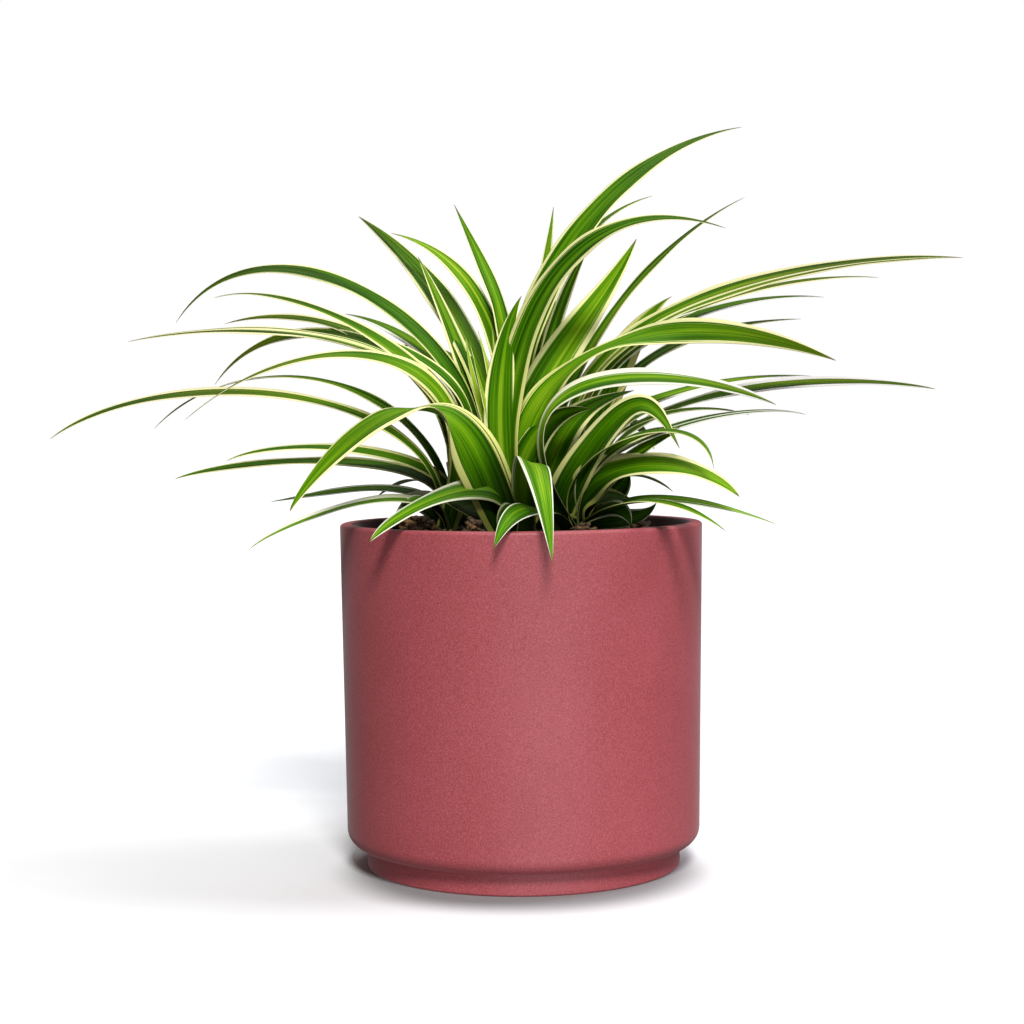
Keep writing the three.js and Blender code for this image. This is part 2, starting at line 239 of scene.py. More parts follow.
class Finish(Graph):
    """One material, built around a Principled shader."""

    def __init__(self, name: str) -> None:
        """Make an empty material.

        Args:
            name: The material's name.
        """
        self.material = bpy.data.materials.new(name)
        self.material.use_nodes = True
        super().__init__(self.material.node_tree)
        self.tree.nodes.clear()

    def mix(self, factor: Any, first: Any, second: Any, blend: str = "MIX") -> Term:
        """Mix two colours.

        Args:
            factor: Share of the second colour.
            first: A colour or a Term.
            second: A colour or a Term.
            blend: Blend type of the Mix node.

        Returns:
            The mixed colour.
        """
        colours = [value if isinstance(value, Term) else rgba(value) for value in (first, second)]
        return self.node(
            "ShaderNodeMix",
            {"data_type": "RGBA", "blend_type": blend},
            {0: factor, 6: colours[0], 7: colours[1]},
            output=2,
        )

    def attribute(self, name: str) -> Term:
        """Return the number that the mesh carries under a name."""
        return self.node("ShaderNodeAttribute", {"attribute_name": name}, output="Fac")

    def place(self) -> Term:
        """Return Object coordinates."""
        return self.node("ShaderNodeTexCoord", output="Object")

    def bump(self, height: Term, strength: float, distance: float) -> Term:
        """Turn a height into a normal.

        Args:
            height: The height, from 0 to 1.
            strength: Share of the bump that shows.
            distance: How deep a height of 1 is.

        Returns:
            The normal.
        """
        return self.node(
            "ShaderNodeBump", None, {"Height": height, "Strength": strength, "Distance": distance}
        )

    def close(self, **sockets: Any) -> bpy.types.Material:
        """Add the Principled shader and the output.

        Args:
            **sockets: Values of the Principled sockets, with _ for a space.

        Returns:
            The finished material.
        """
        inputs = {}
        for name, value in sockets.items():
            plain = isinstance(value, tuple) and name.endswith(("Color", "Tint"))
            inputs[name.replace("_", " ")] = rgba(value) if plain else value
        surface = self.node("ShaderNodeBsdfPrincipled", None, inputs)
        self.node("ShaderNodeOutputMaterial", None, {"Surface": surface})
        return self.material


class GeometryTree(Graph):
    """A Geometry Nodes group with named inputs."""

    def __init__(self, name: str) -> None:
        """Make a group that takes and gives a geometry.

        Args:
            name: The group's name.
        """
        super().__init__(bpy.data.node_groups.new(name, "GeometryNodeTree"))
        self.tree.is_modifier = True
        self.ids: dict[str, str] = {}
        self.start = self.tree.nodes.new("NodeGroupInput")
        for way in ("INPUT", "OUTPUT"):
            self.tree.interface.new_socket(
                name="Geometry", in_out=way, socket_type="NodeSocketGeometry"
            )

    def given(self, name: str, kind: str = "NodeSocketFloat") -> Term:
        """Add a named input.

        Args:
            name: The input's name.
            kind: The type of its socket.

        Returns:
            The input.
        """
        made = self.tree.interface.new_socket(name=name, in_out="INPUT", socket_type=kind)
        self.ids[name] = made.identifier
        return Term(self, self.start.outputs[name])

    def read(self, name: str, kind: str = "FLOAT") -> Term:
        """Return a named attribute's value."""
        return self.node("GeometryNodeInputNamedAttribute", {"data_type": kind}, {"Name": name})

    def store(self, geometry: Term, name: str, value: Term, kind: str = "FLOAT",
              domain: str = "POINT") -> Term:
        """Store a value as a named attribute.

        Args:
            geometry: The geometry that carries it.
            name: The attribute's name.
            value: The value.
            kind: The attribute's data type.
            domain: What the value belongs to.

        Returns:
            The geometry with the attribute.
        """
        return self.node(
            "GeometryNodeStoreNamedAttribute",
            {"data_type": kind, "domain": domain},
            {"Geometry": geometry, "Name": name, "Value": value},
        )

    def random(self, low: Any, high: Any, seed: int) -> Term:
        """Draw a random number for each element.

        Args:
            low: The least number.
            high: The greatest number.
            seed: The seed of the draw.

        Returns:
            The number.
        """
        return self.node(
            "FunctionNodeRandomValue", {"data_type": "FLOAT"}, {2: low, 3: high, "Seed": seed}, output=1
        )

    def random_vector(self, low: Sequence[float], high: Sequence[float], seed: int) -> Term:
        """Draw a random vector for each element.

        Args:
            low: The least vector.
            high: The greatest vector.
            seed: The seed of the draw.

        Returns:
            The vector.
        """
        return self.node(
            "FunctionNodeRandomValue", {"data_type": "FLOAT_VECTOR"}, {0: low, 1: high, "Seed": seed}
        )

    def close(self, geometry: Term, material: Term) -> None:
        """End the tree in Realize Instances and Set Material.

        Args:
            geometry: What the tree has made.
            material: The material that it gets.
        """
        real = self.node("GeometryNodeRealizeInstances", None, {0: geometry})
        dressed = self.node("GeometryNodeSetMaterial", None, {"Geometry": real, "Material": material})
        self.node("NodeGroupOutput", None, {0: dressed})

    def run(self, base: bpy.types.Object, values: dict[str, Any]) -> bpy.types.Object:
        """Grow a base object's mesh by this tree, and keep the result as a plain mesh.

        Args:
            base: The object whose mesh goes in.
            values: A value for each named input.

        Returns:
            The same object, with the new mesh and no modifier.
        """
        modifier = base.modifiers.new("grow", "NODES")
        modifier.node_group = self.tree
        for name, value in values.items():
            modifier[self.ids[name]] = value
        graph = bpy.context.evaluated_depsgraph_get()
        mesh = bpy.data.meshes.new_from_object(base.evaluated_get(graph), depsgraph=graph)
        base.modifiers.clear()
        base.data = mesh
        mesh.name = base.name
        return base


def new_object(name: str, mesh: bpy.types.Mesh) -> bpy.types.Object:
    """Link a new object at the origin to the scene.

    Args:
        name: The object's name.
        mesh: Its mesh.

    Returns:
        The object.
    """
    made = bpy.data.objects.new(name, mesh)
    bpy.context.scene.collection.objects.link(made)
    return made


def mesh_of(name: str, points: Any, faces: Any, edges: Any = ()) -> bpy.types.Mesh:
    """Make a mesh.

    Args:
        name: The mesh's name.
        points: Its points.
        faces: The points of each face, by number.
        edges: The points of each loose edge, by number.

    Returns:
        The mesh.
    """
    mesh = bpy.data.meshes.new(name)
    mesh.from_pydata([tuple(p) for p in points], [tuple(e) for e in edges], [tuple(f) for f in faces])
    mesh.update()
    return mesh


def face_outwards(mesh: bpy.types.Mesh) -> None:
    """Turn the faces of closed shells outwards and shade them smooth.

    Args:
        mesh: The mesh, which holds one or more closed shells.
    """
    shell = bmesh.new()
    shell.from_mesh(mesh)
    bmesh.ops.recalc_face_normals(shell, faces=shell.faces)
    for face in shell.faces:
        face.smooth = True
    shell.to_mesh(mesh)
    shell.free()


def settle(piece: bpy.types.Object, slot: str, *nodes: str) -> None:
    """Ride a finished piece on the body, and hide the nodes of the part that it stands for.

    Args:
        piece: The piece.
        slot: Its material slot; not used.
        *nodes: The nodes of the part that it stands for.
    """
    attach(piece, BODY)
    if nodes:
        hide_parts(*nodes)
    LOG.info("%s: %d faces", piece.name, len(piece.data.polygons))


@dataclass(frozen=True)
class RoseGlaze:
    """Matt rose glaze with a sandy grain, darkened inside above the soil by a painted shade.

    Each band gives the noise levels between which its colour comes in, and each share how far it does. The
    painted shade shows inside `inner_shade_radius` and above `inner_shade_height`, in metres.
    """

    body: Colour = (0.35, 0.063, 0.071)
    light: Colour = (0.48, 0.108, 0.128)
    dark: Colour = (0.225, 0.03, 0.031)
    painted_inner_shade: Colour = (0.022, 0.008, 0.006)
    grain: float = 1750.0
    pits: float = 787.5
    cloud: float = 22.0
    cloud_band: tuple[float, float] = (0.3, 0.75)
    cloud_share: float = 0.3
    light_band: tuple[float, float] = (0.5, 0.66)
    light_share: float = 0.68
    dark_band: tuple[float, float] = (0.5, 0.36)
    dark_share: float = 0.5
    pit_band: tuple[float, float] = (0.56, 0.74)
    pit_share: float = 0.16
    inner_shade_share: float = 0.95
    inner_shade_radius: tuple[float, float] = (0.0732, 0.0719)
    inner_shade_height: tuple[float, float] = (0.1, 0.11)
    roughness: float = 0.52
    relief: float = 0.0003

    def material(self) -> bpy.types.Material:
        """Build the glaze.

        Returns:
            The finished material.
        """
        make = Finish("rose_glaze")
        place = make.place()
        cloud = make.noise(place, self.cloud, 3.0)
        grain = make.noise(place, self.grain, 2.0, 0.7)
        pits = make.noise(place, self.pits, 2.0, 0.6)
        colour = make.mix(make.step(cloud, *self.cloud_band) * self.cloud_share, self.body, self.light)
        colour = make.mix(make.step(grain, *self.light_band) * self.light_share, colour, self.light)
        colour = make.mix(make.step(grain, *self.dark_band) * self.dark_share, colour, self.dark)
        colour = make.mix(make.step(pits, *self.pit_band) * self.pit_share, colour, self.dark)
        from_axis = make.node(
            "ShaderNodeVectorMath", {"operation": "LENGTH"},
            {0: make.vector("MULTIPLY", place, (1.0, 1.0, 0.0))}, output=1,
        )
        height = make.node("ShaderNodeSeparateXYZ", None, {0: place}, output=2)
        # Painted shade: the inner wall above the soil is drawn near black, where the blades shade it.
        inside = make.step(from_axis, *self.inner_shade_radius) * make.step(height, *self.inner_shade_height)
        colour = make.mix(inside * self.inner_shade_share, colour, self.painted_inner_shade)
        rough = self.roughness + (grain - 0.5) * 0.3
        return make.close(
            Base_Color=colour,
            Roughness=rough,
            Normal=make.bump(grain * 0.7 + pits * 0.6, 0.3, self.relief),
            Specular_IOR_Level=0.5,
            Sheen_Weight=0.15,
            Sheen_Roughness=0.3,
        )


@dataclass(frozen=True)
class PottingSoil:
    """Dark, fibrous potting soil."""

    wet: Colour = (0.012, 0.006, 0.003)
    dry: Colour = (0.075, 0.038, 0.018)
    lumps: float = 260.0
    lump_band: tuple[float, float] = (0.35, 0.75)
    crumb_share: float = 0.6

    def material(self) -> bpy.types.Material:
        """Build the soil.

        Returns:
            The finished material.
        """
        make = Finish("potting_soil")
        place = make.place()
        lumps = make.noise(place, self.lumps, 6.0, 0.7)
        shade = make.attribute("shade")
        colour = make.mix(make.step(lumps, *self.lump_band), self.wet, self.dry)
        colour = make.mix(shade * self.crumb_share, colour, self.dry)
        return make.close(
            Base_Color=colour, Roughness=0.95, Normal=make.bump(lumps, 0.8, 0.001)
        )


@dataclass(frozen=True)
class PineBark:
    """Tan and brown bark chips with a straight grain."""

    pale: Colour = (0.3, 0.155, 0.05)
    brown: Colour = (0.016, 0.007, 0.003)
    grain: float = 700.0
    grain_band: tuple[float, float] = (0.4, 0.75)

    def material(self) -> bpy.types.Material:
        """Build the bark.

        Returns:
            The finished material.
        """
        make = Finish("pine_bark")
        place = make.place()
        grain = make.noise(place, self.grain, 4.0, 0.65)
        shade = make.attribute("shade")
        light = make.step(grain, *self.grain_band) * 0.5 + shade * shade * 0.5
        colour = make.mix(light, self.brown, self.pale)
        return make.close(Base_Color=colour, Roughness=0.85, Normal=make.bump(grain, 0.6, 0.0006))


@dataclass(frozen=True)
class Streaks:
    """Noise that is drawn out along a blade.

    `across` is its scale for each millimetre of the half width, `along` for each decimetre of
    the length, and `shift` how far the blade's seed moves it.
    """

    across: float
    along: float
    shift: float
    detail: float = 2.0
    rough: float = 0.5

    def noise(self, make: Finish, side: Term, lengthwise: Term, seed: Term) -> Term:
        """Return the noise at a place on a blade with a seed."""
        place = make.combine(side * self.across, lengthwise * self.along, seed * self.shift)
        return make.noise(place, 1.0, self.detail, self.rough)


@dataclass(frozen=True)
class BladeChart:
    """Where a point lies on its blade, and the noises there."""

    across: Term
    along: Term
    bands: Term
    lines: Term
    drift: Term
    patches: Term
    grain: Term


@dataclass(frozen=True)
class BladeFinish:
    """Green blade with cream margins and fine parallel lines.

    `greens` are read at a level that the blade's tone, the noises and the stripe along its rib set. High up
    and far out, `far_shade` tints the green darker and `far_pale_shade` the margins, a painted shade, and
    `core_shade` darkens what is low down and close in, also a painted shade.
    """

    greens: tuple[tuple[float, Colour], ...] = (
        (0.0, (0.0025, 0.014, 0.0002)),
        (0.25, (0.016, 0.078, 0.0005)),
        (0.5, (0.062, 0.2, 0.001)),
        (0.75, (0.165, 0.34, 0.005)),
        (1.0, (0.34, 0.5, 0.03)),
    )
    far_shade: Colour = (0.5, 0.37, 0.2)
    far_pale_shade: Colour = (0.75, 0.71, 0.88)
    core_shade: Colour = (0.08, 0.1, 0.025)
    cream: Colour = (0.87, 0.85, 0.36)
    white: Colour = (0.86, 0.85, 0.66)
    yellow: Colour = (0.64, 0.65, 0.15)
    olive: Colour = (0.36, 0.35, 0.06)
    dry: Colour = (0.16, 0.085, 0.035)
    gloss: Colour = (0.75, 1.0, 0.2)
    bands: Streaks = Streaks(0.8, 0.22, 37.0)
    lines: Streaks = Streaks(2.2, 0.3, 91.0, 3.0, 0.65)
    drift: Streaks = Streaks(0.3, 1.3, 53.0)
    patches: Streaks = Streaks(0.15, 1.6, 19.0)
    grain: Streaks = Streaks(5.0, 6.0, 71.0)
    band_weight: float = 0.7
    line_weight: float = 0.9
    patch_weight: float = 0.95
    grain_weight: float = 0.3
    rib_half: float = 0.45
    edge_band: tuple[float, float] = (0.4, 0.85)
    edge_shade: float = 0.1
    margin_soft: float = 0.03
    root_yellow_share: float = 0.8
    line_band: tuple[float, float] = (0.55, 0.72)
    line_in_margin: float = 0.3
    far_out: tuple[float, float] = (0.03, 0.14)
    high_up: tuple[float, float] = (0.16, 0.2)
    low_down: tuple[float, float] = (0.19, 0.15)
    close_in: tuple[float, float] = (0.075, 0.045)
    core_shade_share: float = 0.9
    dry_tip: tuple[float, float] = (0.965, 0.995)
    dry_share: float = 0.85
    specular: float = 0.12
    relief: float = 0.0005

    def _chart(self, make: Finish) -> BladeChart:
        """Read the blade's own map.

        Args:
            make: The finish that the nodes go to.

        Returns:
            The place on the blade, and the noises there.
        """
        spread = make.node(
            "ShaderNodeSeparateXYZ", None, {0: make.node("ShaderNodeUVMap", {"uv_map": "UVMap"})}
        )
        across = spread * 2.0 - 1.0
        along = Term(make, spread.socket.node.outputs[1])
        seed, width, length = (make.attribute(name) for name in ("seed", "width", "length"))
        side = across * width * HALF_IN_MM
        lengthwise = along * length * LENGTH_IN_DM
        noises = (self.bands, self.lines, self.drift, self.patches, self.grain)
        return BladeChart(
            across, along, *(streaks.noise(make, side, lengthwise, seed) for streaks in noises)
        )

    def _green(self, make: Finish, at: BladeChart) -> Term:
        """Work out the green.

        Args:
            make: The finish that the nodes go to.
            at: The place on the blade.

        Returns:
            The colour, with its lines, its patches and the stripe along the rib.
        """
        off_rib = make.math("ABSOLUTE", at.across + (at.drift - 0.5) * 0.3)
        rib = make.step(off_rib, self.rib_half, 0.0)
        level = make.attribute("tone") + (at.bands - 0.5) * self.band_weight
        level = level + (at.lines - 0.5) * self.line_weight + (at.patches - 0.5) * self.patch_weight
        level = level + rib * make.attribute("glow") * (0.3 + at.bands)
        level = level + (at.grain - 0.5) * self.grain_weight
        level = level - make.step(make.math("ABSOLUTE", at.across), *self.edge_band) * self.edge_shade
        return make.node("ShaderNodeValToRGB", {"stops": self.greens}, {"Fac": level})

    def _cream(self, make: Finish, at: BladeChart) -> Term:
        """Work out the margins' colour, from white through cream to olive, yellower at the root.

        Args:
            make: The finish that the nodes go to.
            at: The place on the blade.

        Returns:
            The colour.
        """
        warmth = make.attribute("warmth")
        cream = make.mix(make.step(warmth, 0.0, 1.0), self.white, self.cream)
        cream = make.mix(make.step(warmth, 1.0, 2.0), cream, self.olive)
        # The margins turn yellower towards the root.
        root_yellow = make.step(at.along + (at.patches - 0.5) * 0.2, 0.6, 0.15) * (0.6 + warmth * 0.4)
        return make.mix(root_yellow * self.root_yellow_share, cream, self.yellow)

    def _pale(self, make: Finish, at: BladeChart) -> Term:
        """Work out where the blade is pale: on its margins and on the stripe between them.

        Args:
            make: The finish that the nodes go to.
            at: The place on the blade.

        Returns:
            1 where the blade is pale and 0 where it is green.
        """
        ragged = (at.lines - 0.5) * 0.5 + (at.bands - 0.5) * 0.4 + (at.drift - 0.5) * 0.3
        edge = at.across + ragged * make.step(make.math("ABSOLUTE", at.across), 1.0, 0.8)
        soft = self.margin_soft
        margin_a, margin_b = make.attribute("margin_a"), make.attribute("margin_b")
        left = make.step(edge, 1.0 - margin_a - soft, 1.0 - margin_a + soft)
        right = make.step(0.0 - edge, 1.0 - margin_b - soft, 1.0 - margin_b + soft)
        off = make.math("ABSOLUTE", edge - make.attribute("inner_at"))
        inner_width = make.attribute("inner_width")
        inner = make.step(off, inner_width + soft, inner_width - soft)
        return make.math("MAXIMUM", make.math("MAXIMUM", left, right), inner)

    def material(self) -> bpy.types.Material:
        """Build the blade's colours from its own map and the numbers that each blade carries.

        Returns:
            The finished material.
        """
        make = Finish("variegated_blade")
        at = self._chart(make)
        spot = make.node("ShaderNodeSeparateXYZ", None, {0: make.place()})
        height = Term(make, spot.socket.node.outputs[2])
        from_axis = make.math("SQRT", spot * spot + Term(make, spot.socket.node.outputs[1]) ** 2.0)
        # Painted shade: high up and far out, the blades are tinted darker and yellower.
        far_shaded = make.step(from_axis, *self.far_out) * make.step(height, *self.high_up)
        # Painted shade: low down near the middle of the plant, the blades are darkened.
        core_shaded = make.step(height, *self.low_down) * make.step(from_axis, *self.close_in)
        green = make.mix(far_shaded, self._green(make, at), self.far_shade, "MULTIPLY")
        cream = make.mix(far_shaded, self._cream(make, at), self.far_pale_shade, "MULTIPLY")
        cream = make.mix(make.step(at.lines, *self.line_band) * self.line_in_margin, cream, green)
        colour = make.mix(self._pale(make, at), green, cream)
        colour = make.mix(core_shaded * self.core_shade_share, colour, self.core_shade, "MULTIPLY")
        ends = make.step(at.along + (at.drift - 0.5) * 0.05, *self.dry_tip)
        colour = make.mix(ends * self.dry_share, colour, self.dry)
        return make.close(
            Base_Color=colour,
            Roughness=0.4 + (1.0 - at.lines) * 0.2,
            Normal=make.bump(at.lines * 0.6 + at.bands * 0.4, 0.4, self.relief),
            Specular_IOR_Level=self.specular,
            Specular_Tint=self.gloss,
        )


class Tone(Enum):
    """How light a blade's green is. SHADE is painted shade: a near-black green for blades and roots deep in
    the plant's shade.
    """

    # Painted shade: near-black green for what lies deep in the plant's shade.
    SHADE = 0.1
    DARK = 0.42
    MID = 0.54
    BRIGHT = 0.68
    YOUNG = 1.0


class Edge(Enum):
    """The tint of a blade's pale margins."""

    WHITE = 0.0
    CREAM = 0.85
    OLIVE = 1.6


@dataclass(frozen=True)
class Blade:
    """One arched blade.

    The midrib is a Bezier curve in the upright plane that leaves the crown at angle `way`, through the
    handles `arch`, each (reach, height) in millimetres. `roll` turns the upper face towards the front, in
    degrees at places spread evenly from the root to the tip. `tone` is the green of the blade and `heart`
    the green of its root; a dark heart, SHADE above all, is partly painted shade at the root, deep in the
    plant. `margins` are the shares of the half width that are pale, on the left and the right side seen
    from the root, and `inner` the middle and half width of a pale stripe between them. `wave` is how far
    the edges wave, `glow` how pale the stripe along the rib is, `sway` how far the tip bends to the left,
    and `taper` the share of the length that narrows to the tip.
    """

    way: float
    width: float
    arch: tuple[tuple[float, float], ...]
    roll: tuple[float, ...]
    tone: Tone = Tone.MID
    heart: Tone = Tone.DARK
    margins: tuple[float, float] = (0.2, 0.2)
    edge: Edge = Edge.CREAM
    inner: tuple[float, float] = (0.0, -1.0)
    wave: float = 0.05
    glow: float = 0.14
    sway: float = 0.0
    taper: float = 0.55


STATIONS = 72
ROOT_RADIUS = 5.5
ROOT_HEIGHT = 144.0
RAIL_NUMBERS = (
    "half", "fold", "along", "lift", "seed", "width", "length", "tone", "glow", "warmth",
    "margin_a", "margin_b", "inner_at", "inner_width",
)
RAIL_VECTORS = ("side", "up")


def bezier(handles: np.ndarray, t: np.ndarray) -> tuple[np.ndarray, np.ndarray]:
    """Return points and slopes of the Bezier curve through handles.

    Args:
        handles: The handles, one a row.
        t: Places along the curve, from 0 to 1.

    Returns:
        The points, and the derivative at each.
    """
    degree = len(handles) - 1
    points = np.zeros((len(t), handles.shape[1]))
    slopes = np.zeros_like(points)
    for i, handle in enumerate(handles):
        weight = math.comb(degree, i) * (1 - t) ** (degree - i) * t**i
        points += weight[:, None] * handle
    for i in range(degree):
        weight = degree * math.comb(degree - 1, i) * (1 - t) ** (degree - 1 - i) * t**i
        slopes += weight[:, None] * (handles[i + 1] - handles[i])
    return points, slopes


def smooth_through(values: Sequence[float], t: np.ndarray) -> np.ndarray:
    """Draw a smooth curve through values.

    Args:
        values: The values, spread evenly from 0 to 1.
        t: Places along the curve, from 0 to 1.

    Returns:
        The curve's value at each place.
    """
    spots = np.asarray(values, float)
    rises = np.gradient(spots)
    at = np.minimum((t * (len(spots) - 1)).astype(int), len(spots) - 2)
    share = t * (len(spots) - 1) - at
    rest = 1.0 - share
    ends = spots[at] * rest**2 * (1 + 2 * share) + spots[at + 1] * share**2 * (1 + 2 * rest)
    return ends + rises[at] * share * rest**2 - rises[at + 1] * share**2 * rest


@dataclass
class BladeRail:
    """The line that one blade's section follows, with all that the section needs at each station."""

    blade: Blade
    crown: tuple[float, float]
    seed: float
    station_power: float = 0.92
    taper_power: float = 0.9
    root_narrowing: float = 0.8
    heart_reach: float = 0.4
    widest: float = 0.4
    tip_half: float = 0.12 * MM
    fold_at: tuple[float, ...] = (0.0, 0.25, 1.0)
    folds: tuple[float, ...] = (26.0, 15.0, 9.0)
    wave_step: float = 11.0 * MM
    ripple_step: float = 6.1 * MM
    ripple: float = 0.6
    flat_root: float = 0.25

    def stations(self) -> dict[str, np.ndarray]:
        """Work out the rail.

        Returns:
            The centre, side and up vectors, and the numbers of RAIL_NUMBERS, at each station.
        """
        blade = self.blade
        way = math.radians(blade.way)
        t = np.linspace(0.0, 1.0, STATIONS) ** self.station_power
        t[-1] = 1.0
        flat, slope = bezier(np.array([(0.0, ROOT_HEIGHT), *blade.arch], float) * MM, t)
        out = np.array([math.cos(way), math.sin(way), 0.0])
        across = np.array([-math.sin(way), math.cos(way), 0.0])
        high = np.array([0.0, 0.0, 1.0])
        start = np.array([*self.crown, 0.0]) * MM + out * ROOT_RADIUS * MM
        sway = blade.sway * MM * across
        centre = start + flat[:, :1] * out + flat[:, 1:] * high + t[:, None] ** 2 * sway
        tangent = slope[:, :1] * out + slope[:, 1:] * high + 2 * t[:, None] * sway
        tangent /= np.linalg.norm(tangent, axis=1)[:, None]
        front = 1.0 if math.cos(way) >= 0 else -1.0
        roll = np.radians(front * smooth_through(blade.roll, t))[:, None]
        side = across * np.cos(roll) + np.cross(tangent, across) * np.sin(roll)
        up = np.cross(tangent, side)

        tip = np.sin(math.pi / 2 * np.minimum(1, (1 - t) / blade.taper)) ** self.taper_power
        rise = np.sin(math.pi / 2 * np.minimum(1, t / self.widest))
        share = tip * (self.root_narrowing + (1 - self.root_narrowing) * rise)
        half = np.maximum(self.tip_half, blade.width * MM / 2 * share)
        length = float(np.linalg.norm(np.diff(centre, axis=0), axis=1).sum())
        fold = np.interp(t, self.fold_at, self.folds)
        phase = self.seed * 40.0
        swing = np.sin(phase + t * length / self.wave_step)
        swing += self.ripple * np.sin(phase * 2.3 + t * length / self.ripple_step)
        lift = blade.wave * half * swing * np.minimum(1, t / self.flat_root)
        warmth = blade.edge.value
        plain = {
            "seed": self.seed, "width": blade.width * MM, "length": length, "glow": blade.glow,
            "warmth": warmth, "margin_a": blade.margins[0], "margin_b": blade.margins[1],
            "inner_at": blade.inner[0], "inner_width": blade.inner[1],
        }
        tones = (blade.heart.value, blade.tone.value)
        rail = {name: np.full(STATIONS, value) for name, value in plain.items()}
        # Towards the root the green runs to the heart's tone, which is partly painted shade.
        rail["tone"] = np.interp(t, (0.0, self.heart_reach), tones)
        rail.update(half=half, fold=np.radians(fold), along=t, lift=lift)
        rail.update(centre=centre, side=side, up=up)
        return rail


@dataclass
class BladeSweep:
    """Geometry Nodes tree that draws a lens-shaped, folded blade section along each rail."""

    section_points: int = 20
    thickness: float = 0.6 * MM
    thinning: float = 0.45
    thickest: float = 0.7
    valley_round: float = 0.012
    valley_drop: float = 0.11
    edge_droop: float = 0.1
    tree: GeometryTree = field(init=False)

    def __post_init__(self) -> None:
        """Build the tree."""
        self.tree = self._sweep()

    def _sweep(self) -> GeometryTree:
        """Build the tree that draws the section.

        Returns:
            The tree.
        """
        make = GeometryTree("blade_sweep")
        points = make.given("Section Points", "NodeSocketInt")
        thickness = make.given("Thickness")
        material = make.given("Material", "NodeSocketMaterial")

        rails = make.node("GeometryNodeMeshToCurve", None, {0: Term(make, make.start.outputs[0])})
        ring = make.node("GeometryNodeCurvePrimitiveCircle", {"mode": "RADIUS"}, {"Resolution": points})
        index = make.node("GeometryNodeInputIndex")
        turn = index / points * (2 * math.pi)
        ring = make.store(ring, "turn", turn)
        swept = make.node(
            "GeometryNodeCurveToMesh", None, {"Curve": rails, "Profile Curve": ring, "Fill Caps": True}
        )

        turn = make.read("turn")
        across = make.math("COSINE", turn)
        skin = make.math("SINE", turn)
        half, fold, along = (make.read(n) for n in ("half", "fold", "along"))
        wing = make.math("SQRT", across * across + self.valley_round) - self.valley_drop
        valley = wing * half * make.math("SINE", fold)
        droop = across * across * across * across * half * -self.edge_droop
        thin = make.math("MINIMUM", half * self.thickest, thickness * (1.0 - along * self.thinning))
        body = skin * thin * 0.5
        edge_lift = make.read("lift") * across * across * make.math("SIGN", across)
        rise = valley + droop + body + edge_lift
        reach = across * half * make.math("COSINE", fold)
        spot = make.vector(
            "ADD",
            make.read("centre", "FLOAT_VECTOR"),
            make.vector(
                "ADD",
                make.scaled(make.read("side", "FLOAT_VECTOR"), reach),
                make.scaled(make.read("up", "FLOAT_VECTOR"), rise),
            ),
        )
        placed = make.node("GeometryNodeSetPosition", None, {"Geometry": swept, "Position": spot})
        chart = make.combine(across * 0.5 + 0.5, along)
        mapped = make.store(placed, "UVMap", chart, "FLOAT2", "CORNER")
        make.close(mapped, material)
        return make

    def grow(self, name: str, rails: Sequence[dict[str, np.ndarray]],
             material: bpy.types.Material) -> bpy.types.Object:
        """Make one object from rails.

        Args:
            name: The object's name.
            rails: The stations of each blade.
            material: The blades' finish.

        Returns:
            The object, with one closed shell for each blade.
        """
        centres = np.concatenate([rail["centre"] for rail in rails])
        edges = [
            (i * STATIONS + j, i * STATIONS + j + 1)
            for i in range(len(rails))
            for j in range(STATIONS - 1)
        ]
        mesh = mesh_of(name, centres, [], edges)
        for key in (*RAIL_VECTORS, "centre"):
            data = np.concatenate([rail[key] for rail in rails]).astype(np.float32)
            mesh.attributes.new(key, "FLOAT_VECTOR", "POINT").data.foreach_set("vector", data.ravel())
        for key in RAIL_NUMBERS:
            data = np.concatenate([rail[key] for rail in rails]).astype(np.float32)
            mesh.attributes.new(key, "FLOAT", "POINT").data.foreach_set("value", data)
        grown = self.tree.run(
            new_object(name, mesh),
            {
                "Section Points": self.section_points,
                "Thickness": self.thickness,
                "Material": material,
            },
        )
        for key in (*RAIL_VECTORS, "centre", "half", "fold", "along", "lift", "turn"):
            grown.data.attributes.remove(grown.data.attributes[key])
        face_outwards(grown.data)
        return grown


@dataclass
class Crown:
    """One crown: the blades that grow from one short stock in the soil."""

    name: str
    at: tuple[float, float]
    blades: tuple[Blade, ...]
    blade_seed: float = 0.137
    crown_seed: float = 0.61

    def build(self, sweep: BladeSweep, material: bpy.types.Material, number: int) -> None:
        """Build the crown's blades as one piece that stands for its node.

        Args:
            sweep: The sweep that draws the blades.
            material: The blades' finish.
            number: The crown's place in the row of crowns, which sets its blades' seeds.
        """
        rails = [
            BladeRail(blade, self.at, self.blade_seed * (i + 1) + self.crown_seed * number).stations()
            for i, blade in enumerate(self.blades)
        ]
        piece = sweep.grow(f"blades_{self.name}", rails, material)
        settle(piece, "leaf", self.name)


